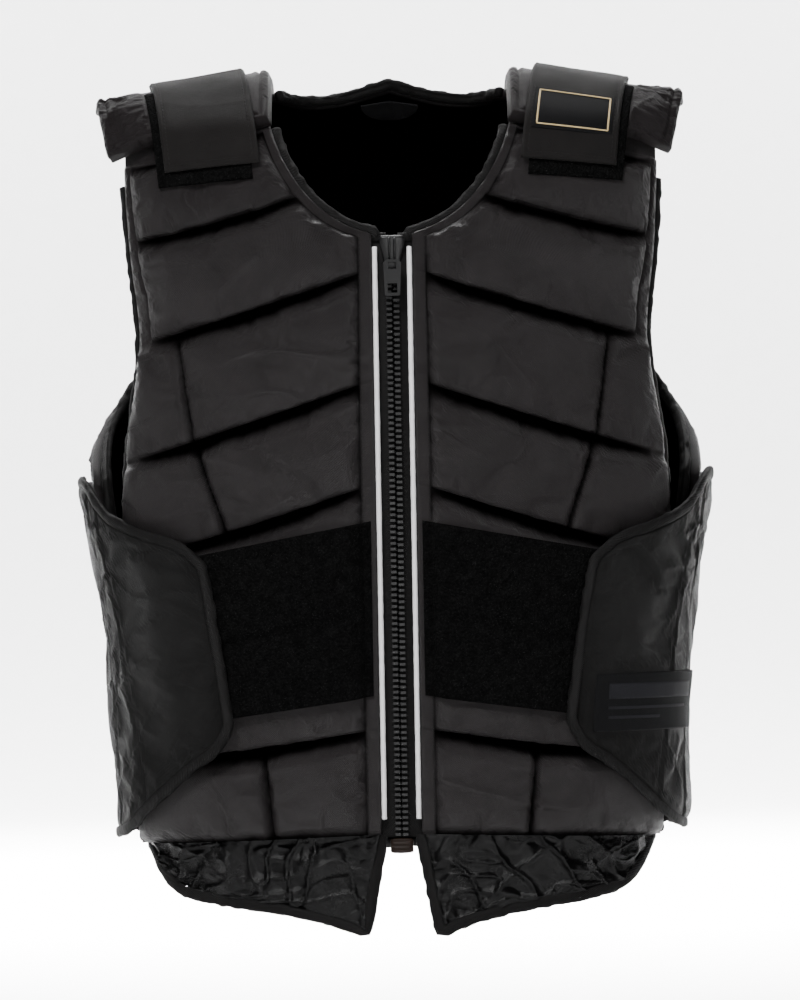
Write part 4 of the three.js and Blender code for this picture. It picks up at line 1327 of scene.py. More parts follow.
def strap_waves(aside, run, side):
    """Slow waves of a strap, and the low folds in its outer face."""
    seed = 401 if side > 0 else 433
    wave = ripples(aside, run, 30.0, 26.0, seed)
    fold = creases(aside, run, 26.0, 0.1, seed + 3)
    return 0.45 * wave, 0.5 * (fold - 0.3)


class VEST_OT_shoulder_straps(bpy.types.Operator):
    """Makes the shoulder straps, the loop patches below them and the bordered patch"""

    bl_idname = "vest.shoulder_straps"
    bl_label = "Shoulder straps"

    def execute(self, context):
        half = STRAP_WIDTH / 2
        turn, level, aside, run, arc = strap_grid(STRAP_FOOT_ANGLE, STRAP_END_ANGLE, -half, half, 1.2)
        gap = np.minimum(half - np.abs(aside), np.minimum(run, arc - run))
        rim = bulge(gap, 1.1)
        hem = hump(gap - 4.2, 0.7)
        for side in (1, -1):
            wave, fold = strap_waves(aside, run, side)
            outer_lift = STRAP_LIFT + mix(0.8, STRAP_THICKNESS, rim) - 0.35 * hem + wave + fold
            inner_lift = STRAP_LIFT + 0.6 * (1 - rim) + wave
            name = side_name("shoulder_strap", side)
            piece = sewn_cloth(f"sewn_{name}", side, turn, level, outer_lift, inner_lift)
            finished(piece, "strap_cloth", name)
            size = (STRAP_WIDTH * MM, arc * MM)
            side_name("shoulder_bridge", side)
        foot = STRAP_FOOT_ANGLE - 9.0 / RISE_LENGTH * 90
        turn, level, aside, run, arc = strap_grid(foot, TAB_ANGLE, -half + LOOP_LIP, half + LOOP_LIP, 1.2)
        gap = rim_gap(aside + half - LOOP_LIP, run, STRAP_WIDTH, arc)
        rim = bulge(gap, 1.0)
        for side in (1, -1):
            mat = ripples(aside, run, 3.0, 3.0, 451)
            lift = LOOP_LIFT + mix(0.5, LOOP_THICKNESS, rim) + 0.12 * mat
            name = side_name("strap_loop_patch", side)
            piece = sewn_cloth(f"napped_{name}", side, turn, level, lift, LOOP_LIFT - 0.6)
            finished(piece, "loop_cloth", name)
            size = (STRAP_WIDTH * MM, arc * MM)
            side_name("shoulder_bridge", side)
        self.bordered_patch()
        return {"FINISHED"}

    def bordered_patch(self):
        """The patch on the left strap: a plain woven field in a thin gold border."""
        start = STRAP_FOOT_ANGLE + 10.5
        stop = start + PATCH_HEIGHT / RISE_LENGTH * 90
        turn, level, aside, run, arc = strap_grid(start, stop, -PATCH_HALF_WIDTH, PATCH_HALF_WIDTH, 0.5)
        gap = np.minimum(PATCH_HALF_WIDTH - np.abs(aside), np.minimum(run, arc - run))
        weave = 0.05 * np.sin(aside * 4.2) * np.sin(run * 4.2)
        lift = STRAP_LIFT + STRAP_THICKNESS + mix(0.2, 0.9, bulge(gap, 0.7)) + weave
        field = sewn_cloth("woven_strap_patch", 1, turn, level, lift, STRAP_LIFT + STRAP_THICKNESS - 0.4)
        finished(field, "label_cloth", "strap_patch")
        half = PATCH_HALF_WIDTH - BORDER_INSET
        low = BORDER_INSET
        high = PATCH_HEIGHT - BORDER_INSET
        corners = [(-half, low), (half, low), (half, high), (-half, high)]
        line = []
        for (a0, r0), (a1, r1) in zip(corners, corners[1:] + corners[:1]):
            steps = np.linspace(0, 1, 40, endpoint=False)
            line.append(np.stack([mix(a0, a1, steps), mix(r0, r1, steps)], axis=1))
        line = np.concatenate(line)
        angle = start + line[:, 1] / RISE_LENGTH * 90
        turn, level = strap_place(line[:, 0], angle)
        points = lifted(turn, level, STRAP_LIFT + STRAP_THICKNESS + 0.95)
        normals = skin_normal(turn, level)
        along = unit(np.roll(points, -1, axis=0) - np.roll(points, 1, axis=0))
        asides = unit(np.cross(along, normals))
        section = np.broadcast_to(oval((0, 0), 0.62, 0.22, 8), (len(line), 8, 2)).copy()
        border = tube("gold_patch_border", points, asides, normals, section, closed=True)
        finished(border, "label_cloth", look="gold_thread")


class VEST_OT_waist_patches(bpy.types.Operator):
    """Makes the loop patches on the waist"""

    bl_idname = "vest.waist_patches"
    bl_label = "Waist loop patches"

    def execute(self, context):
        down, across = grid(100, 110)
        x = mix(WAIST_PATCH_START, WAIST_PATCH_END, across)
        top = -TRUNK_LENGTH * mix(*WAIST_PATCH_TOP, across)
        foot = -TRUNK_LENGTH * mix(*WAIST_PATCH_FOOT, across)
        z = mix(top, foot, down)
        turn, level = front_place(x, z)
        u = across * WAIST_PATCH_WIDTH
        v = down * WAIST_PATCH_HEIGHT
        rim = bulge(rim_gap(u, v, WAIST_PATCH_WIDTH, WAIST_PATCH_HEIGHT), 1.0)
        for side in (1, -1):
            middle, _ = patch_middle(x, z, side)
            mat = ripples(x, z, 2.2, 2.2, 526)
            lift = middle + mix(0.4, 1.3, rim) + 0.22 * mat
            name = side_name("waist_loop_patch", side)
            piece = sewn_cloth(f"napped_{name}", side, turn, level, lift, middle - 0.7)
            finished(piece, "loop_cloth", name)
            side_name("front_panel", side)
        return {"FINISHED"}


FLAP_FRONT_LIFT = 3.3
FLAP_BACK_LIFT = 0.8
FLAP_THICKNESS = 3.5
FLAP_LENGTH = 190.0
FLAP_HEIGHT = 202.0


def flap_place(across, down):
    top_turn = mix(FLAP_TOP[0]["turn"], FLAP_BACK_ANGLE, across)
    foot_turn = mix(FLAP_FOOT[0]["turn"], FLAP_BACK_ANGLE, across)
    top = read(FLAP_TOP, "turn", top_turn, "drop")
    foot = read(FLAP_FOOT, "turn", foot_turn, "drop")
    drop = TRUNK_LENGTH * mix(top, foot, down)
    return np.radians(mix(top_turn, foot_turn, down)), -drop - CROWN_FOOT


def flap_base(across):
    return mix(FLAP_FRONT_LIFT, FLAP_BACK_LIFT, np.minimum(across * 1.3, 1))


# The label on the left flap: its angles round the body and its drops as shares of the trunk.
LABEL_TURN = (38.0, 72.0)
LABEL_DROP = (0.771, 0.850)
LABEL_ARC = 2.4
LABEL_BAR_LIFT = 1.58
LABEL_BARS = [
    {"name": "wide", "turn": (41, 69), "drop": (0.785, 0.806)},
    {"name": "middle", "turn": (41, 66), "drop": (0.816, 0.820)},
    {"name": "low", "turn": (41, 55), "drop": (0.829, 0.833)},
]

# Upright seams of a flap: share across at its top and at its foot.
FLAP_SEAMS = [{"top": 0.37, "foot": 0.28}, {"top": 0.44, "foot": 0.47}]


class VEST_OT_side_flaps(bpy.types.Operator):
    """Makes the side flaps and the label on the left one"""

    bl_idname = "vest.side_flaps"
    bl_label = "Side flaps"

    def execute(self, context):
        down, across = grid(92, 96)
        turn, level = flap_place(across, down)
        u = across * FLAP_LENGTH
        v = down * FLAP_HEIGHT
        gap = rim_gap(u, v, FLAP_LENGTH, FLAP_HEIGHT)
        rim = bulge(gap, 1.6)
        groove = np.zeros_like(u)
        for seam in FLAP_SEAMS:
            distance = (across - mix(seam["top"], seam["foot"], down)) * FLAP_LENGTH
            groove = groove + hump(distance, 1.5) - 0.35 * hump(distance - 4, 2.0)
        for side in (1, -1):
            seed = 601 if side > 0 else 641
            wave = ripples(u, v, 55.0, 70.0, seed)
            fold = creases(u, v, 42.0, 0.95, seed + 3)
            small = creases(u, v, 20.0, 0.6, seed + 7)
            near = np.exp(-gap / 22.0)
            pucker = ripples(v, u, 7.0, 18.0, seed + 11)
            base = flap_base(across)
            detail = 0.9 * wave + 1.7 * (fold - 0.25) + 0.6 * (small - 0.3) + 0.5 * pucker * near
            lift = base + mix(2.2, FLAP_THICKNESS, rim) + detail - 0.9 * groove
            name = side_name("side_flap", side)
            piece = sewn_cloth(f"sewn_{name}", side, turn, level, lift, base + 0.4 * detail - 0.8)
            sewn = (gap < 2.5) | (groove > 0.7)
            if side > 0:
                sewn = sewn | (self.label_inside(turn, level) > -4)
            swell(piece, np.where(sewn, 1.0, 0.0), 0.016, 0.5)
            finished(piece, "flap_cloth", name)
            side_name("front_panel", side)
        self.label()
        return {"FINISHED"}

    def label_inside(self, turn, level):
        """How far inside the label's outline a point of the flap is, in millimetres."""
        degrees = np.degrees(turn)
        drop = -(level + CROWN_FOOT) / TRUNK_LENGTH
        sideways = np.minimum(degrees - LABEL_TURN[0], LABEL_TURN[1] - degrees) * LABEL_ARC
        upright = np.minimum(drop - LABEL_DROP[0], LABEL_DROP[1] - drop) * TRUNK_LENGTH
        return np.minimum(sideways, upright)

    def label_grid(self, turns, drops, rows, columns):
        """Turn, level and lift of the flap's outer face, in a grid between two turns and drops."""
        down, across = grid(rows, columns)
        degrees = mix(*turns, across)
        drop = mix(*drops, down)
        wave = 0.5 * ripples(degrees * LABEL_ARC, drop * TRUNK_LENGTH, 30.0, 25.0, 671)
        level = -drop * TRUNK_LENGTH - CROWN_FOOT
        return np.radians(degrees), level, FLAP_FRONT_LIFT + FLAP_THICKNESS + wave

    def label(self):
        """The woven label: a plain dark field with paler bars in place of its lettering."""
        for bar in LABEL_BARS:
            turn, level, lift = self.label_grid(bar["turn"], bar["drop"], 8, 50)
            name = f"woven_bar_{bar['name']}"
            piece = sewn_cloth(name, 1, turn, level, lift + LABEL_BAR_LIFT, lift + LABEL_BAR_LIFT - 0.4)
            finished(piece, "label_cloth", look="label_thread")
        turn, level, lift = self.label_grid(LABEL_TURN, LABEL_DROP, 60, 120)
        top = lift + mix(0.6, 1.5, bulge(self.label_inside(turn, level), 0.8))
        piece = sewn_cloth("woven_flap_patch", 1, turn, level, top, FLAP_FRONT_LIFT + 1.0)
        finished(piece, "label_cloth", "flap_patch")


SKIRT_LIFT = -14.0
SKIRT_WIDTH = 158.0
SKIRT_DROP = 55.0
SKIRT_THICKNESS = 1.5


def skirt_place(across, down):
    foot_across = mix(SKIRT_FOOT[0]["across"], SKIRT_FOOT[-1]["across"], across)
    foot = -TRUNK_LENGTH * read(SKIRT_FOOT, "across", foot_across, "drop")
    last = len(FRONT_SEAMS) - 1.0
    _, top = front_point(np.full_like(across, last), across)
    top_x = mix(ZIP_EDGE + 1, CHEST_HALF_WIDTH * FRONT_SEAMS[-1]["side"] - 1, across)
    x = mix(top_x, CHEST_HALF_WIDTH * foot_across, down)
    return front_place(x, mix(top + 3.0, foot, down))


class VEST_OT_hem_skirts(bpy.types.Operator):
    """Makes the thin crinkled skirts below the front panels"""

    bl_idname = "vest.hem_skirts"
    bl_label = "Hem skirts"

    def execute(self, context):
        down, across = grid(50, 120)
        turn, level = skirt_place(across, down)
        u = across * SKIRT_WIDTH
        v = down * SKIRT_DROP
        hem = ease(down * 2.5)
        for side in (1, -1):
            seed = 701 if side > 0 else 743
            crinkle = creases(u, v, 15.0, 1.1, seed) + 0.8 * creases(u, v, 11.0, 0.2, seed + 3)
            crinkle = crinkle + 0.5 * creases(u, v, 22.0, -0.6, seed + 5)
            billow = ripples(u, v, 26.0, 22.0, seed + 9)
            lift = SKIRT_LIFT + 3.4 * (crinkle - 0.6) * (0.5 + 0.5 * hem) + 2.6 * billow * ease(down * 2)
            name = side_name("hem_skirt", side)
            half = SKIRT_THICKNESS / 2
            piece = sewn_cloth(f"crinkled_{name}", side, turn, level, lift + half, lift - half)
            sewn = rim_gap(u, v, SKIRT_WIDTH, SKIRT_DROP) < 2.0
            swell(piece, np.where(sewn, 1.0, 0.0), 0.06, 1.0, inner=0.02)
            finished(piece, "skirt_cloth", name)
            side_name("front_panel", side)
        return {"FINISHED"}


EDGE_TAPE_LIFT = -14.0
EDGE_TAPE_HEIGHT = 7.0


class VEST_OT_bindings(bpy.types.Operator):
    """Makes the folded tapes along the edges"""

    bl_idname = "vest.bindings"
    bl_label = "Bindings"

    def execute(self, context):
        for side in (1, -1):
            self.front_edges(side)
            self.flap_edge(side)
            self.skirt_edge(side)
            self.back_side(side)
        self.back_neck()
        self.back_hem()
        return {"FINISHED"}

    def tape(self, node, turn, level, side, seed, away, lift=EDGE_TAPE_LIFT, height=EDGE_TAPE_HEIGHT):
        """away says on which hand of the line the tape stands, for the left side."""
        name = f"folded_{node}"
        piece = binding(name, turn * side, level, away * side, lift, BINDING_WIDTH, height, seed)
        finished(piece, "binding", node)

    def front_edges(self, side):
        at = np.linspace(1.0, 2.6, 90)
        x, z = front_point(at, np.zeros_like(at))
        x = np.append(x, [9.0, 4.0])
        z = np.append(z, [z[-1], z[-1]])
        self.tape(side_name("front_neck_binding", side), *front_place(x, z), side, 801 + side, 1)
        at = np.linspace(1.2, 8.0, 260)
        x, z = front_point(at, np.ones_like(at))
        self.tape(side_name("armhole_binding", side), *front_place(x, z), side, 811 + side, -1)

    def flap_edge(self, side):
        back = np.linspace(1, 0, 90)
        downward = np.linspace(0, 1, 60)
        top = flap_place(back, np.zeros_like(back))
        front = flap_place(np.zeros_like(downward), downward)
        foot = flap_place(back[::-1], np.ones_like(back))
        turn = np.concatenate([top[0][:-1], front[0], foot[0][1:]])
        level = np.concatenate([top[1][:-1], front[1], foot[1][1:]])
        across = np.concatenate([back[:-1], np.zeros_like(downward), back[::-1][1:]])
        lift = flap_base(across) + FLAP_THICKNESS / 2
        name = side_name("flap_binding", side)
        self.tape(name, turn, level, side, 821 + side, 1, lift, 4.6)

    def skirt_edge(self, side):
        across = np.linspace(0, 1, 100)
        downward = np.linspace(0.04, 1, 40)
        inner = skirt_place(np.zeros_like(downward), downward)
        foot = skirt_place(across, np.ones_like(across))
        outer = skirt_place(np.ones_like(downward), downward[::-1])
        turn = np.concatenate([inner[0][:-1], foot[0], outer[0][1:]])
        level = np.concatenate([inner[1][:-1], foot[1], outer[1][1:]])
        name = side_name("hem_binding", side)
        self.tape(name, turn, level, side, 831 + side, 1, SKIRT_LIFT, 3.4)

    def back_side(self, side):
        at = np.linspace(0.2, 6.0, 260)
        turn, level = back_place(at, np.full_like(at, 2.0))
        self.tape(side_name("back_side_binding", side), np.pi - turn, level, side, 841 + side, 1)

    def back_neck(self):
        span = np.linspace(-0.58, 0.58, 121)
        turn, level = back_place(np.full_like(span, -1.0), np.abs(span))
        self.tape("back_neck_binding", np.pi - turn * np.sign(span), level, 1, 851, 1)

    def back_hem(self):
        span = np.linspace(-2, 2, 300)
        turn, level = back_place(np.full_like(span, 6.0), np.abs(span))
        self.tape("back_hem_binding", np.pi - turn * np.sign(span), level, 1, 861, -1)


class NodeTree:
    """A Geometry Nodes tree under construction."""

    def __init__(self, name, numbers):
        self.tree = bpy.data.node_groups.new(name, "GeometryNodeTree")
        face = self.tree.interface
        face.new_socket("Geometry", in_out="INPUT", socket_type="NodeSocketGeometry")
        for label in numbers:
            face.new_socket(label, in_out="INPUT", socket_type="NodeSocketFloat")
        face.new_socket("Finish", in_out="INPUT", socket_type="NodeSocketMaterial")
        face.new_socket("Geometry", in_out="OUTPUT", socket_type="NodeSocketGeometry")
        self.entry = self.tree.nodes.new("NodeGroupInput")
        self.exit = self.tree.nodes.new("NodeGroupOutput")

    def add(self, kind, settings=None, **values):
        node = self.tree.nodes.new(kind)
        for name, value in (settings or {}).items():
            setattr(node, name, value)
        for name, value in values.items():
            socket = node.inputs[name.replace("_", " ")]
            if isinstance(value, bpy.types.NodeSocket):
                self.tree.links.new(value, socket)
            else:
                socket.default_value = value
        return node.outputs[0]

    def number(self, label):
        return self.entry.outputs[label]

    def times(self, value, factor):
        product = self.tree.nodes.new("ShaderNodeMath")
        product.operation = "MULTIPLY"
        self.tree.links.new(value, product.inputs[0])
        product.inputs[1].default_value = factor
        return product.outputs[0]

    def close(self, geometry):
        """Realizes what the tree made, gives it the finish and sends it out."""
        real = self.add("GeometryNodeRealizeInstances", Geometry=geometry)
        painted = self.add("GeometryNodeSetMaterial", Geometry=real, Material=self.entry.outputs["Finish"])
        self.tree.links.new(painted, self.exit.inputs[0])
        return self.tree


def grown(name, tree, line, inputs):
    """The plain mesh that a tree makes along a line of points in millimetres."""
    mesh = bpy.data.meshes.new(f"{name}_line")
    edges = [(i, i + 1) for i in range(len(line) - 1)]
    mesh.from_pydata((line * MM).tolist(), edges, [])
    carrier = bpy.data.objects.new(f"{name}_line", mesh)
    bpy.context.scene.collection.objects.link(carrier)
    modifier = carrier.modifiers.new("Pattern", "NODES")
    modifier.node_group = tree
    for item in tree.interface.items_tree:
        if item.item_type == "SOCKET" and item.in_out == "INPUT" and item.name in inputs:
            modifier[item.identifier] = inputs[item.name]
    graph = bpy.context.evaluated_depsgraph_get()
    made = bpy.data.meshes.new_from_object(
        carrier.evaluated_get(graph), preserve_all_data_layers=True, depsgraph=graph
    )
    made.name = name
    carrier.modifiers.remove(modifier)
    bpy.data.objects.remove(carrier)
    piece = bpy.data.objects.new(name, made)
    bpy.context.scene.collection.objects.link(piece)
    return piece


def stitch_tree():
    """Stitches of one length along a line, each a small rounded grain of thread."""
    if "stitch_row" in bpy.data.node_groups:
        return bpy.data.node_groups["stitch_row"]
    nodes = NodeTree("stitch_row", ["Spacing", "Length", "Thickness"])
    curve = nodes.add("GeometryNodeMeshToCurve", Mesh=nodes.entry.outputs[0])
    spacing = nodes.number("Spacing")
    points = nodes.add("GeometryNodeResampleCurve", {"mode": "LENGTH"}, Curve=curve, Length=spacing)
    tangent = nodes.add("GeometryNodeInputTangent")
    rotation = nodes.add("FunctionNodeAlignRotationToVector", {"axis": "X"}, Vector=tangent)
    grain = nodes.add("GeometryNodeMeshIcoSphere", Radius=0.5, Subdivisions=2)
    thickness = nodes.number("Thickness")
    scale = nodes.add("ShaderNodeCombineXYZ", X=nodes.number("Length"), Y=thickness, Z=thickness)
    row = nodes.add(
        "GeometryNodeInstanceOnPoints", Points=points, Instance=grain, Rotation=rotation, Scale=scale
    )
    smooth = nodes.add("GeometryNodeSetShadeSmooth", Geometry=row)
    return nodes.close(smooth)


TOOTH_THICKNESS_SHARE = 0.46
TOOTH_HEAD_WIDTH = 0.0030
TOOTH_HEAD_LENGTH = 0.0026
TOOTH_HEAD_OFFSET = 0.0013


def tooth_tree():
    """Moulded teeth along one side of the zip: a foot on the tape and a head past the middle."""
    if "zip_teeth" in bpy.data.node_groups:
        return bpy.data.node_groups["zip_teeth"]
    nodes = NodeTree("zip_teeth", ["Pitch", "Side", "Width", "Height"])
    curve = nodes.add("GeometryNodeMeshToCurve", Mesh=nodes.entry.outputs[0])
    pitch = nodes.number("Pitch")
    points = nodes.add("GeometryNodeResampleCurve", {"mode": "LENGTH"}, Curve=curve, Length=pitch)
    tangent = nodes.add("GeometryNodeInputTangent")
    rotation = nodes.add("FunctionNodeAlignRotationToVector", {"axis": "Z"}, Vector=tangent)
    height = nodes.number("Height")
    thickness = nodes.times(pitch, TOOTH_THICKNESS_SHARE)
    foot_size = nodes.add("ShaderNodeCombineXYZ", X=nodes.number("Width"), Y=height, Z=thickness)
    foot = nodes.add("GeometryNodeMeshCube", Size=foot_size)
    head = nodes.add("GeometryNodeMeshIcoSphere", Radius=0.5, Subdivisions=2)
    head_size = nodes.add("ShaderNodeCombineXYZ", X=TOOTH_HEAD_WIDTH, Y=height, Z=TOOTH_HEAD_LENGTH)
    offset = nodes.times(nodes.number("Side"), -TOOTH_HEAD_OFFSET)
    head_place = nodes.add("ShaderNodeCombineXYZ", X=offset, Y=-0.0002, Z=0.0)
    head = nodes.add("GeometryNodeTransform", Geometry=head, Scale=head_size, Translation=head_place)
    tooth = nodes.tree.nodes.new("GeometryNodeJoinGeometry")
    nodes.tree.links.new(head, tooth.inputs[0])
    nodes.tree.links.new(foot, tooth.inputs[0])
    row = nodes.add(
        "GeometryNodeInstanceOnPoints", Points=points, Instance=tooth.outputs[0], Rotation=rotation
    )
    return nodes.close(row)


ZIP_TOP = -82.15
ZIP_FOOT = -479.7
TAPE_LIFT = -14.0
TOOTH_LIFT = -12.6
TOOTH_WIDTH = 3.4
TOOTH_HEIGHT = 3.0
TOOTH_TOP = -108.65
TOOTH_FOOT = -477.7
PIPING_X = 11.4
PIPING_RADIUS = 1.7
PIPING_TOP = ZIP_TOP - 9.0
PIPING_FOOT = ZIP_FOOT + 12.0
ZIP_STEP = 1.5


def zip_line(x, top, foot):
    """Turn and level of a line down the front, in steps of equal height."""
    z = np.linspace(top, foot, int((top - foot) / ZIP_STEP))
    return front_place(np.full_like(z, x), z)


class VEST_OT_zip(bpy.types.Operator):
    """Makes the zip's tapes, teeth and piping"""

    bl_idname = "vest.zip"
    bl_label = "Zip and piping"

    def execute(self, context):
        sizes = context.scene.vest_sizes
        for side in (1, -1):
            self.tape(side)
            self.teeth(side, sizes)
            self.piping(side)
        return {"FINISHED"}

    def tape(self, side):
        z = np.linspace(ZIP_TOP, ZIP_FOOT, 240)[:, None]
        x = np.linspace(0.35, 13.4, 20)[None, :]
        z, x = np.broadcast_arrays(z, x)
        turn, level = front_place(x, z)
        ribs = 0.12 * np.sin(z * 2 * np.pi / 2.4)
        name = side_name("zip_tape", side)
        piece = sewn_cloth(f"woven_{name}", side, turn, level, TAPE_LIFT + 1 + ribs, TAPE_LIFT)
        finished(piece, "binding", name)

    def teeth(self, side, sizes):
        pitch = sizes.tooth_pitch / MM
        shift = 0.0 if side > 0 else pitch / 2
        turn, level = zip_line(2.5, TOOTH_TOP - shift, TOOTH_FOOT)
        line = placed(side, turn, level, TOOTH_LIFT + TOOTH_HEIGHT / 2)
        values = {
            "Pitch": sizes.tooth_pitch,
            "Side": float(side),
            "Width": TOOTH_WIDTH * MM,
            "Height": TOOTH_HEIGHT * MM,
            "Finish": finish_for("zip_plastic"),
        }
        name = side_name("zip_teeth", side)
        finished(grown(f"moulded_{name}", tooth_tree(), line, values), "zip_plastic", name)

    def piping(self, side):
        turn, level = zip_line(PIPING_X, PIPING_TOP, PIPING_FOOT)
        middle = TOOTH_LIFT + PIPING_RADIUS
        wander = ripples(level, np.zeros_like(level), 30.0, 1.0, 901 + side)
        points = placed(side, turn, level, middle + 0.5 + 0.3 * wander)
        normals = mirror_x(skin_normal(turn, level), side)
        asides = line_frame(points, normals)
        size = 1 + 0.05 * ripples(level, np.zeros_like(level), 4.0, 1.0, 905 + side)
        section = oval((0, 0), PIPING_RADIUS, PIPING_RADIUS + 0.3, 14, 2.2)[None] * size[:, None, None]
        name = side_name("piping", side)
        finished(tube(f"beaded_{name}", points, asides, normals, section), "reflective_piping", name)


ZIP_LEAN = -0.13769
SLIDER_DEPTH = 6.0
SLIDER_BRIDGE_RISE = 2.2
SLIDER_RAIL_GAP = 1.7
NECK_LABEL_RADIUS = 22.0
NECK_LABEL_DROP = 8.0
NECK_RADIUS = 200.0

# Half widths of the slider's body from its foot to its top, in millimetres.
SLIDER_PROFILE = [
    {"up": 0.0, "half": 5.2},
    {"up": 0.10, "half": 5.6},
    {"up": 0.35, "half": 5.9},
    {"up": 0.62, "half": 7.2},
    {"up": 0.80, "half": 8.3},
    {"up": 0.93, "half": 8.4},
    {"up": 1.0, "half": 7.0},
]


def upright_block(name, centres, halves, corners, power):
    """A moulded block round a line that runs up it, with its half width and depth on the way."""
    count = len(centres)
    wide = np.broadcast_to([1.0, 0.0, 0.0], (count, 3))
    deep = np.broadcast_to([0.0, -1.0, 0.0], (count, 3))
    section = oval((0, 0), 1.0, 1.0, corners, power)[None] * halves[:, None]
    return tube(name, centres, wide, deep, section)


def joined(pieces):
    """One object from several."""
    first, *others = pieces
    mesh = bmesh.new()
    for piece in pieces:
        mesh.from_mesh(piece.data)
    mesh.to_mesh(first.data)
    mesh.free()
    for other in others:
        bpy.data.objects.remove(other)
    return first


class VEST_OT_fittings(bpy.types.Operator):
    """Gives the slider, pull and box their finish, and makes the neck label"""

    bl_idname = "vest.fittings"
    bl_label = "Slider, pull and labels"

    def execute(self, context):
        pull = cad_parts["zip_pull"]
        pull.data.materials.clear()
        pull.data.materials.append(finish_for("zip_plastic"))
        self.slider()
        self.box()
        self.neck_label()
        return {"FINISHED"}

    def slider(self):
        """The slider: a waisted body with flanges, and the bridge that holds the pull."""
        low, high = [np.array(corner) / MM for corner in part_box("zip_slider")]
        foot, top = low[2], high[2]
        length = top - foot
        back = high[1]
        levels = np.linspace(0, 1, 26)
        halves = np.interp(levels, column(SLIDER_PROFILE, "up"), column(SLIDER_PROFILE, "half"))
        lean = math.tan(ZIP_LEAN) * (levels - 1) * length
        middle = back - SLIDER_DEPTH / 2 - 0.2 + lean
        centres = np.stack([np.zeros(26), middle, foot + levels * length], axis=1)
        close = np.sqrt(np.clip(1 - (2 * levels - 1) ** 14, 0.12, 1))
        halves = np.stack([halves, close * SLIDER_DEPTH / 2 * 0.82], axis=1)
        pieces = [upright_block("slider_body", centres, halves, 28, 5.0)]
        for side in (-1, 1):
            run = np.linspace(0.36, 0.93, 24)
            arch = np.sin(np.linspace(0, 1, 24) * np.pi) ** 0.6
            front = back - SLIDER_DEPTH + math.tan(ZIP_LEAN) * (run - 1) * length
            front = front - SLIDER_BRIDGE_RISE * arch + 0.9
            line = np.stack([np.full(24, side * SLIDER_RAIL_GAP), front, foot + run * length], axis=1)
            along = unit(np.gradient(line, axis=0))
            aside = np.broadcast_to([1.0, 0.0, 0.0], (24, 3))
            rail = np.broadcast_to(oval((0, 0), 0.75, 0.8, 10), (24, 10, 2)).copy()
            pieces.append(tube(f"slider_rail_{side}", line, aside, unit(np.cross(along, aside)), rail))
        finished(joined(pieces), "zip_plastic", "zip_slider")

    def box(self):
        """The retainer at the zip's foot: a small moulded box with ribs across it."""
        low, high = [np.array(corner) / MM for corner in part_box("zip_bottom_box")]
        middle = (low + high) / 2
        half = (high - low) / 2
        levels = np.linspace(0, 1, 40)
        rib = 0.25 * np.sin(levels * 2 * np.pi * 3.5)
        close = np.sqrt(np.clip(1 - (2 * levels - 1) ** 12, 0.1, 1))
        heights = low[2] + levels * half[2] * 2
        centres = np.stack([np.full(40, middle[0]), np.full(40, middle[1]), heights], axis=1)
        halves = np.stack([close * half[0], close * half[1] * 0.9 + rib], axis=1)
        piece = upright_block("moulded_retainer_box", centres, halves, 24, 4.5)
        finished(piece, "retainer_plastic", "zip_bottom_box")

    def neck_label(self):
        """The plain half-moon label inside the back of the neck."""
        _, top = back_place(np.array([-1.0]), np.array([0.0]))
        down, across = np.broadcast_arrays(np.linspace(0, 1, 40)[:, None], np.linspace(-1, 1, 60)[None, :])
        half = NECK_LABEL_RADIUS * np.maximum(np.sqrt(np.maximum(1 - down**2, 0)), 0.12)
        turn = np.pi - np.arcsin(half * across / NECK_RADIUS)
        level = top[0] - NECK_LABEL_DROP - NECK_LABEL_RADIUS * down
        piece = sewn_cloth("woven_neck_label", 1, turn, level, INNER_LIFT - 1.5, INNER_LIFT - 2.7)
        finished(piece, "label_cloth", "neck_label")


class VEST_OT_stitching(bpy.types.Operator):
    """Sews the visible rows of stitches"""

    bl_idname = "vest.stitching"
    bl_label = "Stitching"

    def execute(self, context):
        sizes = context.scene.vest_sizes
        for side in (1, -1):
            at = np.linspace(2.55, 7.98, 400)
            share = np.full_like(at, BAND_SHARE * 0.9)
            lift = front_lift(at, share, side, sizes.fullness / MM)
            place = front_place(*front_point(at, share))
            self.row(side_name("band_stitches", side), place, lift + 0.25, side)
            half = STRAP_WIDTH / 2 - 4.2
            low = STRAP_FOOT_ANGLE + 2
            corners = [(-half, STRAP_END_ANGLE), (-half, low), (half, low), (half, STRAP_END_ANGLE)]
            sides = [np.linspace(start, stop, 80) for start, stop in zip(corners, corners[1:])]
            aside, angle = np.concatenate(sides).T
            wave, fold = strap_waves(aside, (angle - STRAP_FOOT_ANGLE) / 90 * RISE_LENGTH, side)
            lift = STRAP_LIFT + STRAP_THICKNESS - 0.2 + wave + fold
            self.row(side_name("strap_stitches", side), strap_place(aside, angle), lift, side)
        return {"FINISHED"}

    def row(self, name, place, lift, side):
        sizes = bpy.context.scene.vest_sizes
        line = placed(side, *place, lift)
        values = {
            "Spacing": sizes.stitch * 1.35,
            "Length": sizes.stitch,
            "Thickness": sizes.thread,
            "Finish": finish_for("thread"),
        }
        finished(grown(name, stitch_tree(), line, values), "binding", look="thread")


FLOOR = -0.70
CAMERA_AIM = (0.0025, -0.06, -0.2590)
CAMERA_DISTANCE = 4.5
IMAGE_HEIGHT = 1000
PIXEL = 0.00066
ROLL = math.radians(1.0)
WORLD_STRENGTH = 0.13
VEST_MIDDLE = (0.0, 0.0, -0.26)

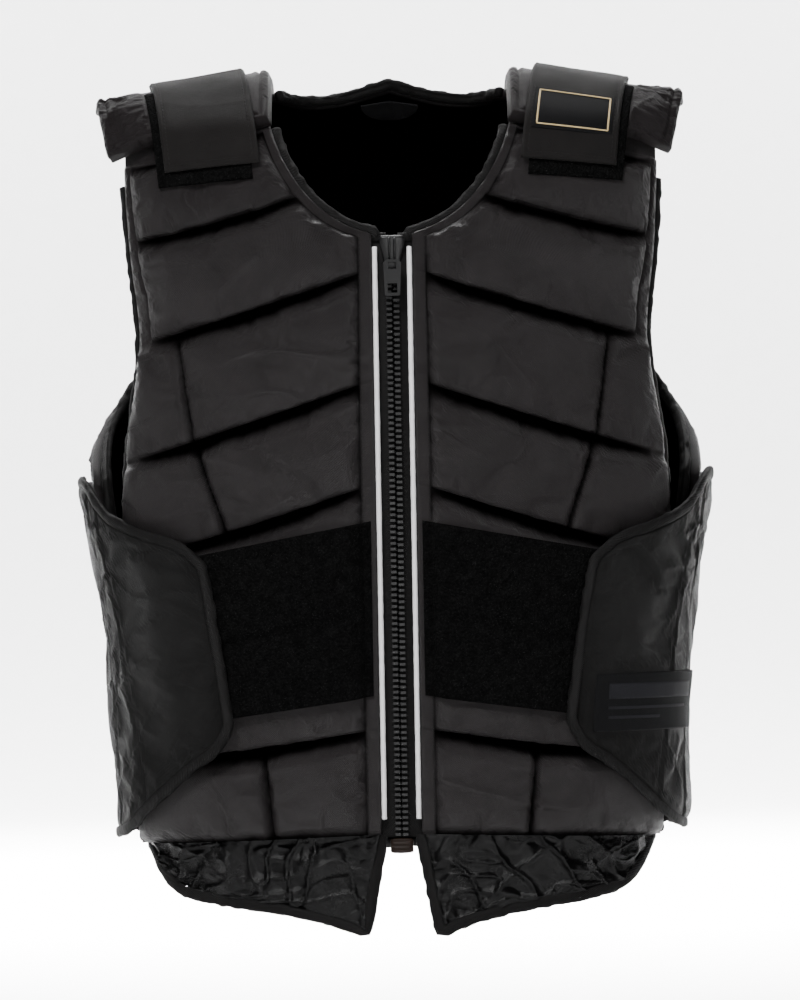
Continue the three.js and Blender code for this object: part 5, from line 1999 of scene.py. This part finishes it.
# Lamps in metres and watts: three on the vest, two on the wall and one on the floor.
LAMPS = [
    dict(name="key_light", place=(-0.7, -1.7, 2.0), target=VEST_MIDDLE, size=0.8, power=106.0),
    dict(name="fill_light", place=(0.5, -3.2, -0.2), target=VEST_MIDDLE, size=1.2, power=42.0),
    dict(name="top_light", place=(0.0, 0.3, 2.2), target=VEST_MIDDLE, size=1.6, power=3.0),
    dict(name="wall_light_right", place=(-3.2, 2.6, 1.6), target=(-1.2, 6.6, 1.6), size=1.6, power=620.0),
    dict(name="wall_light_left", place=(3.2, 2.6, 1.6), target=(1.2, 6.6, 1.6), size=1.6, power=620.0),
    dict(
        name="floor_light",
        place=(0.0, 3.5, 3.0),
        target=(0.0, 3.0, FLOOR),
        size=2.6,
        power=620.0,
        spread=74.0,
    ),
]


class VEST_OT_stage(bpy.types.Operator):
    """Makes the pale sweep, the lights and the camera"""

    bl_idname = "vest.stage"
    bl_label = "Stage"

    def execute(self, context):
        self.sweep()
        for lamp in LAMPS:
            self.light(**lamp)
        self.world()
        self.camera(context)
        return {"FINISHED"}

    def sweep(self):
        """A floor that bends up into a backdrop."""
        profile = [(-8.0, FLOOR)]
        for step in range(17):
            angle = step / 16 * math.pi / 2
            profile.append((5.0 + 1.2 * math.sin(angle), FLOOR + 1.2 * (1 - math.cos(angle))))
        profile.append((6.2, 7.0))
        points = np.array([(x, y, z) for y, z in profile for x in (-9.0, 9.0)]) / MM
        faces = grid_faces(len(profile), 2)
        piece = make_mesh("pale_sweep", points, [face[::-1] for face in faces])
        finish = Finish("pale_paper")
        grain = finish.speckle(40.0, 2.0)
        paper = finish.tint(grain, (0.86, 0.86, 0.86), (0.90, 0.90, 0.90))
        piece.data.materials.append(finish.surface(Base_Color=paper, Roughness=0.9))

    def light(self, name, place, target, size, power, spread=180.0):
        """A round lamp that points at a target. spread is its beam's angle in degrees."""
        data = bpy.data.lights.new(name, "AREA")
        data.shape = "DISK"
        data.size = size
        data.energy = power
        data.spread = math.radians(spread)
        lamp = bpy.data.objects.new(name, data)
        lamp.location = place
        aim = Vector(target) - Vector(place)
        lamp.rotation_euler = aim.to_track_quat("-Z", "Y").to_euler()
        bpy.context.scene.collection.objects.link(lamp)

    def world(self):
        world = bpy.data.worlds.new("pale_room")
        world.use_nodes = True
        background = world.node_tree.nodes["Background"]
        background.inputs["Color"].default_value = (1.0, 1.0, 1.0, 1.0)
        background.inputs["Strength"].default_value = WORLD_STRENGTH
        bpy.context.scene.world = world

    def camera(self, context):
        data = bpy.data.cameras.new("photo_camera")
        data.sensor_fit = "VERTICAL"
        data.sensor_height = 36.0
        data.lens = data.sensor_height * CAMERA_DISTANCE / (IMAGE_HEIGHT * PIXEL)
        data.clip_end = 50.0
        camera = bpy.data.objects.new("photo_camera", data)
        aim = Vector(CAMERA_AIM)
        camera.location = aim + Vector((0.0, -CAMERA_DISTANCE, 0.0))
        camera.rotation_euler = (math.radians(90), ROLL, 0.0)
        context.scene.collection.objects.link(camera)
        context.scene.camera = camera


PIECES = (
    VEST_OT_front_panels,
    VEST_OT_back_panel,
    VEST_OT_shoulder_bridges,
    VEST_OT_shoulder_straps,
    VEST_OT_waist_patches,
    VEST_OT_side_flaps,
    VEST_OT_hem_skirts,
    VEST_OT_bindings,
    VEST_OT_zip,
    VEST_OT_fittings,
    VEST_OT_stitching,
    VEST_OT_stage,
)


class VEST_PT_pieces(bpy.types.Panel):
    """Lists the vest's pieces, sizes and colours"""

    bl_idname = "VEST_PT_pieces"
    bl_label = "Riding vest"
    bl_space_type = "VIEW_3D"
    bl_region_type = "UI"
    bl_category = "Riding vest"

    def draw(self, context):
        for piece in PIECES:
            self.layout.operator(piece.bl_idname)
        for group in (context.scene.vest_sizes, context.scene.vest_colours):
            for name in type(group).__annotations__:
                self.layout.prop(group, name)


CLASSES = (VestColours, VestSizes, *PIECES, VEST_PT_pieces)


def register():
    for kind in CLASSES:
        bpy.utils.register_class(kind)
    bpy.types.Scene.vest_sizes = bpy.props.PointerProperty(type=VestSizes)
    bpy.types.Scene.vest_colours = bpy.props.PointerProperty(type=VestColours)


def unregister():
    del bpy.types.Scene.vest_colours
    del bpy.types.Scene.vest_sizes
    for kind in reversed(CLASSES):
        bpy.utils.unregister_class(kind)


def main():
    register()
    for piece in PIECES:
        group, name = piece.bl_idname.split(".")
        getattr(getattr(bpy.ops, group), name)()


if __name__ == "__main__":
    main()
